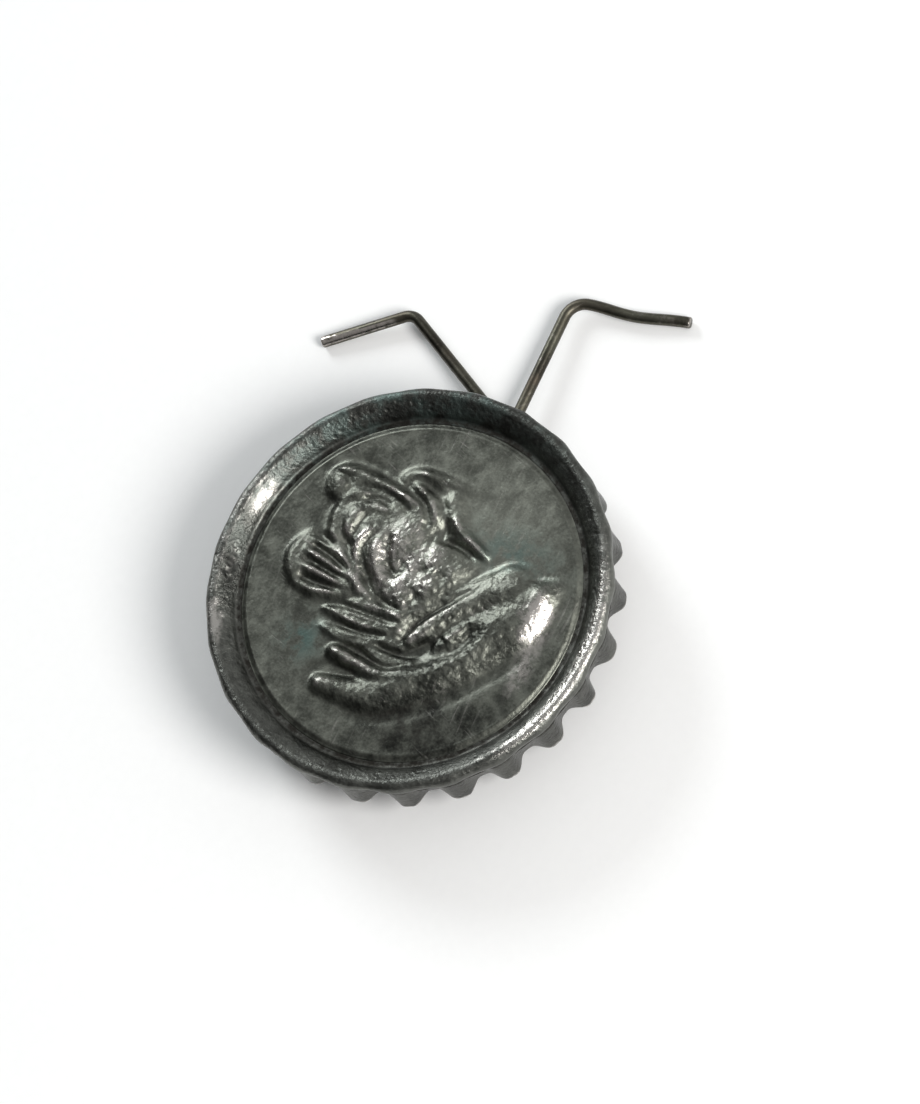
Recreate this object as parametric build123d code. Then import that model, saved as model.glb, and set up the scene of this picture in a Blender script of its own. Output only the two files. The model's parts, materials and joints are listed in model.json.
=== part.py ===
"""Cap badge: a pressed fluted face with two wire lugs and a split pin behind it.

Frame: origin at the centre of the skirt's lower edge, +Z out of the face,
+X along the pin towards its open ends, +Y up the relief picture. Millimetres.
"""
from build123d import *
from math import asin, atan2, cos, pi, radians, sin, sqrt
import os

# ---- face shell -------------------------------------------------------------
FLUTE_TIP_DIAMETER = 32.0      # over the flute tips at the skirt edge
RIM_DIAMETER = 32.2            # over the rounded rim
SHELL_HEIGHT = 4.45            # skirt edge to rim crest
SHEET = 0.55                   # sheet thickness
FACE_DIAMETER = 26.8           # sunken disc, up to its fine edge line
FACE_SINK = 1.05               # disc below the rim crest
GROOVE_WIDTH = 0.6             # groove round the disc
GROOVE_DEPTH = 0.15
RIM_BEND_RADIUS = 0.4          # middle of the sheet, over the rim's top
FLUTE_COUNT = 24
FLUTE_DEPTH = 1.3              # tip to valley at the skirt edge
FLUTE_TIP_ANGLE = 7.5          # first tip, from +X
FLUTE_POINTS = 4               # curve points per flute
NECK_FIT = 0.01                # skirt wall stands this far inside the neck wall
EDGE_LINE_WIDTH = 0.25         # fine raised line round the disc
EDGE_LINE_HEIGHT = 0.08

# ---- struck relief, places on the disc ------------------------------------------
RELIEF_HEIGHT = 0.75           # hand above the disc
LEAF_SHARE = 0.7               # leaf height as a share of the hand's
BLOOM_HEIGHT = 0.95            # bloom above the disc
BLOOM = (3.0, 4.4, 4.3)        # centre and radius
LEAVES = [                     # centre, length, width, angle
    (-0.6, 7.6, 5.6, 4.2, 80),
    (-3.6, 4.0, 4.6, 1.8, 105),
    (-5.2, -0.4, 4.2, 1.7, 110),
    (7.6, 2.2, 4.4, 2.0, 60),
    (5.0, -2.4, 3.8, 1.4, 65),
]
HAND_OUTLINE = [
    (1.2, -11.8),
    (-3.2, -8.4),
    (-7.6, -4.2),
    (-9.8, 0.6),
    (-8.8, 4.0),
    (-5.8, 2.6),
    (-4.2, -1.4),
    (1.2, -3.8),
    (3.6, -7.0),
    (4.8, -11.0),
]

# ---- lugs and their solder ---------------------------------------------------
LUG_WIRE = 0.9                 # lug wire diameter
LUG_SPACING = 22.0             # between the two lugs
LUG_LINE_Y = 0.9               # both lugs stand this far above the centre
LUG_EYE_CLEARANCE = 0.15       # lug bend's inside radius less the pin wire's diameter
LUG_DROP = 1.0                 # bend centre below the skirt edge
SOLDER_RADIUS = 1.1            # solder cone at the face
SOLDER_TOP_RADIUS = 0.6        # solder cone at its thin end
SOLDER_HEIGHT = 0.6

# ---- split pin ---------------------------------------------------------------
PIN_WIRE = 0.9                 # pin wire diameter
LEG_GAP = 0.02                 # between the two legs
PIN_SEAT_GAP = 0.08            # legs to the inside of the lug bend
EYE_START = 1.4                # pin eye begins this far outside the west lug
EYE_FLARE_RADIUS = 0.9         # legs bend out into the eye
EYE_FLARE_ANGLE = 40.0
SPREAD_PAST_LUG = 4.55         # legs spread this far outside the east lug
BEND_GAP = 0.03                # leg ball to pin end face
LEG_END_HEIGHT = 0.0           # leg ends above the lugs' lowest point
UPPER_LEG = dict(side=1, angle=62.2, length=12.3, turn=64.3, tip=7.55, corner=1.2)
LOWER_LEG = dict(side=-1, angle=1.6, length=11.0, turn=-80.7, tip=9.55, corner=1.6)

# ---- derived places ------------------------------------------------------------
face_z = SHELL_HEIGHT - FACE_SINK
back_z = face_z - SHEET
face_r = FACE_DIAMETER / 2
rim_r = RIM_DIAMETER / 2
mid_z = face_z - SHEET / 2
neck_mid_r = rim_r - SHEET / 2
neck_z = face_z - GROOVE_DEPTH
tip_r = FLUTE_TIP_DIAMETER / 2
lug_x = LUG_SPACING / 2
lug_r = LUG_WIRE / 2
lug_eye_r = PIN_WIRE + LUG_EYE_CLEARANCE
lug_bend_r = lug_eye_r + lug_r
lug_bottom_z = -LUG_DROP - lug_bend_r - lug_r
wire_r = PIN_WIRE / 2
leg_y = wire_r + LEG_GAP / 2
seat_r = lug_eye_r - wire_r - PIN_SEAT_GAP
pin_z = -LUG_DROP - sqrt(seat_r**2 - leg_y**2)
eye_start_x = -lug_x - EYE_START
spread_x = lug_x + SPREAD_PAST_LUG
pin_end_x = spread_x - wire_r - BEND_GAP
leg_end_z = lug_bottom_z + wire_r + LEG_END_HEIGHT


def lobed_face(mean_r, half_depth, z):
    """Flat face with a round wavy outline, one wave per flute."""
    count = FLUTE_COUNT * FLUTE_POINTS
    points = []
    for i in range(count):
        angle = 2 * pi * i / count
        wave = cos(FLUTE_COUNT * (angle - radians(FLUTE_TIP_ANGLE)))
        r = mean_r + half_depth * wave
        points.append((r * cos(angle), r * sin(angle), z))
    return make_face(Spline(*points, periodic=True))


def lobed_solid(top_r, edge_r, half_depth, low_z):
    """Solid between a round outline at the neck and a wavy one at low_z."""
    fraction = (neck_z - low_z) / neck_z
    low_r = top_r + (edge_r - top_r) * fraction
    sections = [lobed_face(low_r, half_depth * fraction, low_z), lobed_face(top_r, 0, neck_z)]
    return loft(sections, ruled=True)


def make_skirt():
    """Fluted skirt of sheet thickness, round at the neck and wavy at its edge."""
    outer_top = neck_mid_r + SHEET / 2 - NECK_FIT
    inner_top = neck_mid_r - SHEET / 2 + NECK_FIT
    outer_edge = tip_r - FLUTE_DEPTH / 2
    outer = lobed_solid(outer_top, outer_edge, FLUTE_DEPTH / 2, 0)
    inner = lobed_solid(inner_top, outer_edge - SHEET, FLUTE_DEPTH / 2, -SHEET)
    over_neck = Pos(0, 0, neck_z) * extrude(lobed_face(inner_top, 0, 0), SHEET)
    return outer - inner - over_neck


def shifted_corners(corners, distance):
    """Corners of the same open outline, moved sideways to its left by distance."""
    ends = list(zip(corners, corners[1:]))
    normals = [Vector(a[1] - b[1], b[0] - a[0]).normalized() for a, b in ends]
    moved = [Vector(*corners[0]) + normals[0] * distance]
    for corner, before, after in zip(corners[1:-1], normals, normals[1:]):
        middle = (before + after).normalized()
        moved.append(Vector(*corner) + middle * (distance / middle.dot(before)))
    return moved + [Vector(*corners[-1]) + normals[-1] * distance]


def rim_outline(shift):
    """Disc, groove, slope, round rim top and neck in the XZ plane, moved out by shift."""
    bend = Vector(rim_r - SHEET / 2 - RIM_BEND_RADIUS, SHELL_HEIGHT - SHEET / 2 - RIM_BEND_RADIUS)
    groove = Vector(face_r + GROOVE_WIDTH / 2, mid_z - GROOVE_DEPTH)
    reach = bend - groove
    slope = atan2(reach.Y, reach.X) + asin(RIM_BEND_RADIUS / reach.length)
    out = Vector(-sin(slope), cos(slope))
    corners = [(0, mid_z), (face_r, mid_z), (groove.X, groove.Y), tuple(bend + out * RIM_BEND_RADIUS)[:2]]
    flat = Polyline(*shifted_corners(corners, shift))
    bend_r = RIM_BEND_RADIUS + shift
    halfway = (slope + pi / 2) / 2
    top = bend + Vector(cos(halfway), sin(halfway)) * bend_r
    outer = bend + Vector(bend_r, 0)
    over = ThreePointArc(bend + out * bend_r, top, outer)
    neck = Line(outer, (outer.X, neck_z))
    return [*flat.edges(), over, neck]


def make_rim_and_disc():
    """The rim and disc: one sheet, turned about Z."""
    front = rim_outline(SHEET / 2)
    back = rim_outline(-SHEET / 2)
    closing = [Line(front[0] @ 0, back[0] @ 0), Line(front[-1] @ 1, back[-1] @ 1)]
    section = make_face([*front, *back, *closing])
    return revolve(Plane.XZ * section, Axis.Z)


def make_edge_line():
    """Fine raised line round the sunken disc, just inside the groove."""
    ring = Circle(face_r) - Circle(face_r - EDGE_LINE_WIDTH)
    return Pos(0, 0, mid_z) * extrude(ring, SHEET / 2 + EDGE_LINE_HEIGHT)


def raised(outline, height):
    """A flat outline struck up from the disc by height."""
    return Pos(0, 0, mid_z) * extrude(outline, SHEET / 2 + height)


def make_relief():
    """Hand rising from the lower edge, holding a bloom with leaves."""
    hand = make_face(Spline(*HAND_OUTLINE, periodic=True))
    relief = [raised(hand, RELIEF_HEIGHT)]
    for x, y, length, width, angle in LEAVES:
        leaf = Pos(x, y) * Rot(0, 0, angle) * Ellipse(length / 2, width / 2)
        relief.append(raised(leaf, RELIEF_HEIGHT * LEAF_SHARE))
    x, y, bloom_r = BLOOM
    dome_r = (bloom_r**2 + BLOOM_HEIGHT**2) / (2 * BLOOM_HEIGHT)
    dome = Pos(x, y, face_z + BLOOM_HEIGHT - dome_r) * Sphere(dome_r)
    relief.append(dome & (Pos(x, y) * raised(Circle(bloom_r), BLOOM_HEIGHT)))
    return relief


def make_face_shell():
    """Rim, disc, fluted skirt and struck relief: one pressed piece."""
    shell = make_rim_and_disc() + make_skirt() + make_edge_line()
    for raised_part in make_relief():
        shell += raised_part
    return shell


def make_lug(x):
    """U of round wire across the pin, its two ends butted on the back of the disc."""
    left = LUG_LINE_Y - lug_bend_r
    right = LUG_LINE_Y + lug_bend_r
    down = Line((x, left, back_z), (x, left, -LUG_DROP))
    bottom = (x, LUG_LINE_Y, -LUG_DROP - lug_bend_r)
    bend = ThreePointArc((x, left, -LUG_DROP), bottom, (x, right, -LUG_DROP))
    up = Line((x, right, -LUG_DROP), (x, right, back_z))
    section = Plane(origin=(x, left, back_z), z_dir=(0, 0, -1)) * Circle(lug_r)
    return sweep(section, path=Wire([down, bend, up]))


def make_solder(x):
    """Two solder cones, one round each end of a lug."""
    cone = Cone(SOLDER_TOP_RADIUS, SOLDER_RADIUS, SOLDER_HEIGHT) - Cylinder(lug_r, SOLDER_HEIGHT)
    z = back_z - SOLDER_HEIGHT / 2
    places = [(x, LUG_LINE_Y - lug_bend_r, z), (x, LUG_LINE_Y + lug_bend_r, z)]
    return Compound(children=[Pos(*place) * cone for place in places])


def make_pin():
    """Shank and eye of the split pin: one wire folded back on itself."""
    flare = radians(EYE_FLARE_ANGLE)
    eye_r = (leg_y + EYE_FLARE_RADIUS * (1 - cos(flare))) / cos(flare)
    above = Line((pin_end_x, leg_y), (eye_start_x, leg_y))
    out = JernArc(above @ 1, above % 1, EYE_FLARE_RADIUS, -EYE_FLARE_ANGLE)
    eye = JernArc(out @ 1, out % 1, eye_r, 180 + 2 * EYE_FLARE_ANGLE)
    back = JernArc(eye @ 1, eye % 1, EYE_FLARE_RADIUS, -EYE_FLARE_ANGLE)
    below = Line(back @ 1, (pin_end_x, -leg_y))
    section = Plane(origin=(pin_end_x, leg_y, 0), z_dir=(-1, 0, 0)) * Circle(wire_r)
    wire = sweep(section, path=Wire([above, out, eye, back, below]))
    return Pos(0, LUG_LINE_Y, pin_z) * wire


def make_leg(side, angle, length, turn, tip, corner):
    """A spread leg with its bent tip, starting in a ball at its bend."""
    start = Vector(spread_x, LUG_LINE_Y + side * leg_y, pin_z)
    slope = (leg_end_z - pin_z) / (length + tip)
    along = Vector(cos(radians(angle)), sin(radians(angle)), slope)
    outward = Vector(cos(radians(angle + turn)), sin(radians(angle + turn)), slope)
    knee = start + along * length
    path = FilletPolyline(start, knee, knee + outward * tip, radius=corner)
    wire = sweep(Plane(origin=start, z_dir=along) * Circle(wire_r), path=path)
    return wire + Pos(*start) * Sphere(wire_r)


NODES = {
    "face_shell": make_face_shell(),
    "lug_west": make_lug(-lug_x),
    "lug_east": make_lug(lug_x),
    "solder_west": make_solder(-lug_x),
    "solder_east": make_solder(lug_x),
    "split_pin": make_pin(),
    "pin_leg_upper": make_leg(**UPPER_LEG),
    "pin_leg_lower": make_leg(**LOWER_LEG),
}

os.makedirs("parts", exist_ok=True)
for name, shape in NODES.items():
    export_step(shape, f"parts/{name}.step")
    print(f"{name}: {shape.volume:.2f} mm3")
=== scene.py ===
"""Cap badge: a dark fluted pressing with a struck hand and posy, two wire lugs and a split pin.

Lengths in the classes are millimetres in the badge's own frame (+Z out of the face, +X along the
pin, +Y up the picture); mesh data and everything given to Blender are metres.
"""

import json
import logging
import math
from dataclasses import dataclass, field
from enum import Enum

import bpy
import numpy as np
from mathutils import Matrix, Vector


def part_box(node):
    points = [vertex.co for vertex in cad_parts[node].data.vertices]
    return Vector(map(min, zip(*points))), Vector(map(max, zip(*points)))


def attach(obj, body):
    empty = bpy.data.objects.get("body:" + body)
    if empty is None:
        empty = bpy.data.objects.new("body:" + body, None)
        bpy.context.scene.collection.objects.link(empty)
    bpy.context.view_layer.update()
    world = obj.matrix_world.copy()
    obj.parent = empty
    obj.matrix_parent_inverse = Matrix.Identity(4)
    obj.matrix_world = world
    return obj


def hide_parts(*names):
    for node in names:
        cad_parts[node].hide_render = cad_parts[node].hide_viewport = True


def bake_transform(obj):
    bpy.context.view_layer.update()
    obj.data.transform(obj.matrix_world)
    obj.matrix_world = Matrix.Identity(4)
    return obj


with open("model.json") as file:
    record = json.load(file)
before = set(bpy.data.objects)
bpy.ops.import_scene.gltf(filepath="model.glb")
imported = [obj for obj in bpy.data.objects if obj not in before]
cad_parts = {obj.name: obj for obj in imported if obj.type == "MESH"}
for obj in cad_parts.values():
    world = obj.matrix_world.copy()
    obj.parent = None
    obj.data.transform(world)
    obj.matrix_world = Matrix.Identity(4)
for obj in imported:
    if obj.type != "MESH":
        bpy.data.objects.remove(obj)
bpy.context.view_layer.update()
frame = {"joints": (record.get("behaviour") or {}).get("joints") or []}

MM = 0.001
TURN = 2 * math.pi
LOG = logging.getLogger("cap_badge")


class Slot(Enum):
    """Material slots of the record."""

    SHELL = "shell_metal"
    LUG = "lug_wire"
    SOLDER = "solder"
    PIN = "pin_wire"


# ---- shared shapes ----


def cad_box(node: str) -> tuple[np.ndarray, np.ndarray]:
    """A CAD node's lowest and highest corner in millimetres, by its name."""
    low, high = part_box(node)
    return np.array(low) / MM, np.array(high) / MM


def joint_place(name: str) -> np.ndarray:
    """The point of a hinge in millimetres, by the joint's name."""
    joint = next(j for j in frame["joints"] if j["name"] == name)
    return np.array(joint["pos_m"]) / MM


def lattice(cell: list[np.ndarray], seed: int) -> np.ndarray:
    """Random values from 0 to 1 at whole-number places.

    Formula: the three whole numbers and the seed are multiplied by large odd numbers and summed,
    and the sum's high bits are folded twice onto its low ones.

    Args:
        cell: three whole-number arrays of one shape.
        seed: picks the set of values.

    Returns:
        An array of that shape.
    """
    mixed = cell[0] * 374761393 + cell[1] * 668265263 + cell[2] * 1103515245 + seed * 1274126177
    mixed &= 0xFFFFFFFF
    mixed = ((mixed ^ (mixed >> 13)) * 1274126177) & 0xFFFFFFFF
    return ((mixed ^ (mixed >> 16)) & 0xFFFF) / 65535.0


def noise(points: np.ndarray, size: float, seed: int) -> np.ndarray:
    """Smooth random values from -1 to 1.

    Formula: lattice values at the eight corners of each point's cell, weighted by a smooth step
    of the point's place in the cell.

    Args:
        points: array of places, three lengths in its last axis.
        size: about how wide one bump is.
        seed: picks the pattern.

    Returns:
        One value for each point.
    """
    scaled = points / size
    cell = np.floor(scaled).astype(np.int64)
    part = scaled - cell
    part = part * part * (3 - 2 * part)
    total = np.zeros(points.shape[:-1])
    for corner in np.ndindex(2, 2, 2):
        weight = np.ones(points.shape[:-1])
        for axis, step in enumerate(corner):
            weight = weight * (part[..., axis] if step else 1 - part[..., axis])
        total += weight * lattice([cell[..., a] + corner[a] for a in range(3)], seed)
    return 2 * total - 1


def layered(points: np.ndarray, size: float, seed: int, layers: int = 3) -> np.ndarray:
    """Noise summed over layers, each half as wide and half as strong as the one before."""
    steps = range(layers)
    return sum(noise(points, size / 2**k, seed + k) / 2**k for k in steps) / (2 - 2 ** (1 - layers))


def smooth_line(points: list[tuple[float, ...]], steps: int = 40) -> np.ndarray:
    """A smooth curve through a few points.

    Formula: Catmull-Rom, a cubic between each two points whose slope at a point is half the
    way from the point before it to the point after.

    Args:
        points: two or more places of the same number of lengths.
        steps: how many places the curve gets.

    Returns:
        An array of steps places.
    """
    known = np.array(points, float)
    padded = np.vstack([2 * known[0] - known[1], known, 2 * known[-1] - known[-2]])
    place = np.linspace(0, len(known) - 1, steps)
    first = np.minimum(place.astype(int), len(known) - 2)
    t = (place - first)[:, None]
    a, b, c, d = (padded[first + k] for k in range(4))
    cubic = (3 * b - a - 3 * c + d) * t**3 + (2 * a - 5 * b + 4 * c - d) * t**2
    return 0.5 * (2 * b + (c - a) * t + cubic)


def three_way(values: tuple[float, float, float], t: np.ndarray) -> np.ndarray:
    """The value at t from 0 to 1 on straight lines through values at 0, one half and 1."""
    return np.interp(t, [0, 0.5, 1], values)


def add_mesh(name: str, verts: np.ndarray, faces: list, flat: int = 0) -> bpy.types.Object:
    """Make an object from places in millimetres.

    Args:
        name: piece name.
        verts: places, one row each.
        faces: vertex numbers of each face, outward faces counter-clockwise.
        flat: how many of the last faces are shaded flat.

    Returns:
        The new object, at the origin.
    """
    mesh = bpy.data.meshes.new(name)
    mesh.from_pydata((verts * MM).tolist(), [], faces)
    smooth = np.ones(len(faces), bool)
    smooth[len(faces) - flat :] = False
    mesh.polygons.foreach_set("use_smooth", smooth)
    mesh.update()
    piece = bpy.data.objects.new(name, mesh)
    bpy.context.scene.collection.objects.link(piece)
    return piece


def grid_faces(
    rows: int, columns: int, wrap_rows: bool, wrap_columns: bool, first: int = 0
) -> np.ndarray:
    """Four-cornered faces between neighbours of a grid whose columns run fastest.

    Args:
        rows: number of rows.
        columns: number of columns.
        wrap_rows: the last row joins the first.
        wrap_columns: the last column joins the first.
        first: number of the grid's first vertex.

    Returns:
        Array of vertex numbers, four to a face.
    """
    i, j = np.meshgrid(
        np.arange(rows if wrap_rows else rows - 1),
        np.arange(columns if wrap_columns else columns - 1),
        indexing="ij",
    )
    next_i, next_j = (i + 1) % rows, (j + 1) % columns
    corners = [i * columns + j, i * columns + next_j, next_i * columns + next_j, next_i * columns + j]
    return np.stack(corners, -1).reshape(-1, 4) + first


def vertex_places(piece: bpy.types.Object) -> np.ndarray:
    """Places of a piece's vertices in millimetres.

    Args:
        piece: the piece.

    Returns:
        One row of three lengths for each vertex.
    """
    flat = np.empty(3 * len(piece.data.vertices))
    piece.data.vertices.foreach_get("co", flat)
    return flat.reshape(-1, 3) / MM


def store(piece: bpy.types.Object, **marks: np.ndarray | float) -> None:
    """Keep values on a piece's vertices, for its material to read.

    Args:
        piece: the piece.
        marks: one value for each vertex, or one for all, by the attribute's name.
    """
    count = len(piece.data.vertices)
    for name, values in marks.items():
        attribute = piece.data.attributes.new(name, "FLOAT", "POINT")
        full = np.broadcast_to(np.ravel(values), (count,))
        attribute.data.foreach_set("value", full.astype(np.float32))


def arc(
    centre: tuple[float, float], radius: float, start: float, end: float, steps: int
) -> np.ndarray:
    """Places on a circle, from one angle in degrees to another."""
    angle = np.radians(np.linspace(start, end, steps))
    return np.stack([centre[0] + radius * np.cos(angle), centre[1] + radius * np.sin(angle)], -1)


def rounded_path(corners: list[np.ndarray], radii: list[float], steps: int = 14) -> np.ndarray:
    """Straight runs joined by tangent arcs.

    Formula: an arc leaves each run at radius times the tangent of half the turn before the
    corner, and its centre lies on the line that halves the corner.

    Args:
        corners: the path's first point, corners and last point.
        radii: one radius for each inner corner.
        steps: places on each arc.

    Returns:
        Array of places.
    """
    places = [corners[0][None]]
    for before, corner, after, radius in zip(corners, corners[1:], corners[2:], radii):
        back = (before - corner) / np.linalg.norm(before - corner)
        ahead = (after - corner) / np.linalg.norm(after - corner)
        half = math.acos(float(np.clip(back @ ahead, -1, 1))) / 2
        middle = (back + ahead) / np.linalg.norm(back + ahead)
        centre = corner + middle * radius / math.sin(half)
        swing = math.pi / 2 - half
        across = (ahead - back) / np.linalg.norm(ahead - back)
        angle = np.linspace(-swing, swing, steps)[:, None]
        places.append(centre - middle * radius * np.cos(angle) + across * radius * np.sin(angle))
    places.append(corners[-1][None])
    return np.vstack(places)


def even_steps(path: np.ndarray, step: float) -> np.ndarray:
    """The same path with a place about every step along it, ends kept.

    Args:
        path: places in order.
        step: about how far apart the new places are.

    Returns:
        The new places.
    """
    runs = np.r_[0, np.cumsum(np.linalg.norm(np.diff(path, axis=0), axis=1))]
    wanted = np.linspace(0, runs[-1], max(8, int(runs[-1] / step)))
    return np.stack([np.interp(wanted, runs, path[:, k]) for k in range(path.shape[1])], -1)


@dataclass
class Wire:
    """Round drawn wire carried along a path, with cut ends."""

    name: str
    path: np.ndarray
    radius: float
    side: tuple[float, float, float]
    seed: int
    step: float = 0.12
    columns: int = 32
    uneven: float = 0.012
    cut_bevel: float = 0.07

    def make(self) -> bpy.types.Object:
        """Build the wire.

        Formula: each place of the path gets a ring of the wire's radius, in the plane across
        the path; the ring's first axis is the path's direction crossed with side. A little
        noise is taken off the radius, and two small rings bevel each cut end.

        Returns:
            The wire, closed at both ends.
        """
        path = even_steps(self.path, self.step)
        start = path[0] - path[1]
        end = path[-1] - path[-2]
        inner = path[0] - start / np.linalg.norm(start) * self.cut_bevel
        outer = path[-1] - end / np.linalg.norm(end) * self.cut_bevel
        path = np.vstack([path[:1], inner, path[1:-1], outer, path[-1:]])
        ahead = np.gradient(path, axis=0)
        ahead /= np.linalg.norm(ahead, axis=1)[:, None]
        first = np.cross(ahead, np.array(self.side, float))
        first /= np.linalg.norm(first, axis=1)[:, None]
        second = np.cross(ahead, first)
        angle = np.linspace(0, TURN, self.columns, endpoint=False)[None, :, None]
        ring = first[:, None] * np.cos(angle) + second[:, None] * np.sin(angle)
        radius = np.full(len(path), self.radius)
        radius[[0, -1]] -= self.cut_bevel
        rough = layered(path[:, None] + ring * self.radius, 0.9, self.seed)
        radius = radius[:, None] - self.uneven * (0.5 + 0.5 * rough)
        verts = path[:, None] + ring * radius[..., None]
        faces = grid_faces(len(path), self.columns, False, True).tolist()
        last = len(path) * self.columns
        faces.append(list(range(self.columns))[::-1])
        faces.append(list(range(last - self.columns, last)))
        return add_mesh(self.name, verts.reshape(-1, 3), faces, flat=2)


# ---- the struck picture ----


@dataclass(frozen=True)
class Mass:
    """A broad soft form: places along it, half widths at its start, middle and end, and height."""

    points: list[tuple[float, float]]
    widths: tuple[float, float, float]
    height: float


@dataclass(frozen=True)
class Stroke:
    """A worked line: places along it, its half width and its height, below 0 for a crease."""

    points: list[tuple[float, float]]
    width: float
    height: float


@dataclass
class HeightMap:
    """Heights on a square of cells about the disc's centre, in millimetres."""

    half: float
    cells: int = 660
    x: np.ndarray = field(init=False)
    y: np.ndarray = field(init=False)
    z: np.ndarray = field(init=False)

    def __post_init__(self) -> None:
        """Lay out the cells, all at height 0."""
        line = np.linspace(-self.half, self.half, self.cells)
        self.x, self.y = np.meshgrid(line, line, indexing="ij")
        self.z = np.zeros_like(self.x)

    def window(self, line: np.ndarray, reach: float) -> tuple[slice, slice]:
        """The block of cells within reach of a line.

        Args:
            line: places in order.
            reach: how far round the line the block goes.

        Returns:
            The block's slices along x and y.
        """
        low = (line.min(0) - reach + self.half) / (2 * self.half) * (self.cells - 1)
        high = (line.max(0) + reach + self.half) / (2 * self.half) * (self.cells - 1)
        low = np.clip(low.astype(int), 0, self.cells)
        high = np.clip(high.astype(int) + 2, 0, self.cells)
        return slice(low[0], high[0]), slice(low[1], high[1])

    def nearest(self, block: tuple[slice, slice], line: np.ndarray) -> tuple[np.ndarray, np.ndarray]:
        """Find the nearest place of a line for each cell of a block.

        Args:
            block: slices of the cells.
            line: places in order.

        Returns:
            The distance, and how far along the line the nearest place is, from 0 to 1.
        """
        gap_x = self.x[block][..., None] - line[:, 0]
        gap_y = self.y[block][..., None] - line[:, 1]
        square = gap_x**2 + gap_y**2
        index = square.argmin(-1)
        distance = np.sqrt(np.take_along_axis(square, index[..., None], -1)[..., 0])
        return distance, index / (len(line) - 1)

    def raise_mass(self, mass: Mass) -> None:
        """Raise a form: the higher of what is there and a round-topped body.

        Formula: height times (1 - (distance / half width) squared) to the power 0.7.

        Args:
            mass: the form.
        """
        line = smooth_line(mass.points)
        block = self.window(line, max(mass.widths))
        distance, t = self.nearest(block, line)
        inside = np.clip(1 - (distance / three_way(mass.widths, t)) ** 2, 0, 1)
        self.z[block] = np.maximum(self.z[block], mass.height * inside**0.7)

    def work_stroke(self, stroke: Stroke) -> None:
        """Add a stroke.

        Formula: height times a bell curve of distance, fading out at a long stroke's ends.

        Args:
            stroke: the stroke.
        """
        line = smooth_line(stroke.points)
        block = self.window(line, 3 * stroke.width)
        distance, t = self.nearest(block, line)
        is_long = np.linalg.norm(line[-1] - line[0]) > stroke.width
        fade = np.clip(5 * np.minimum(t, 1 - t) + 0.15, 0, 1) if is_long else 1.0
        self.z[block] += stroke.height * fade * np.exp(-((distance / stroke.width) ** 2))

    def blurred(self, radius: float) -> np.ndarray:
        """Soften the heights over a bell curve, one axis after the other.

        Args:
            radius: the curve's radius.

        Returns:
            The softened heights.
        """
        cell = 2 * self.half / (self.cells - 1)
        reach = max(1, int(3 * radius / cell))
        weight = np.exp(-0.5 * (np.arange(-reach, reach + 1) * cell / radius) ** 2)
        weight /= weight.sum()
        padded = np.pad(self.z, reach, mode="edge")
        down = sum(w * padded[k : k + self.cells] for k, w in enumerate(weight))
        return sum(w * down[:, k : k + self.cells] for k, w in enumerate(weight))

    def read(self, values: np.ndarray, points: np.ndarray) -> np.ndarray:
        """Read the map between its cells.

        Args:
            values: one value for each cell.
            points: places on the disc.

        Returns:
            The mean of the four cells round each place, weighted by nearness.
        """
        place = (points + self.half) / (2 * self.half) * (self.cells - 1)
        cell = np.clip(place.astype(int), 0, self.cells - 2)
        part = place - cell
        i, j = cell[..., 0], cell[..., 1]
        u, v = part[..., 0], part[..., 1]
        low = values[i, j] * (1 - u) + values[i + 1, j] * u
        high = values[i, j + 1] * (1 - u) + values[i + 1, j + 1] * u
        return low * (1 - v) + high * v


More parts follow.
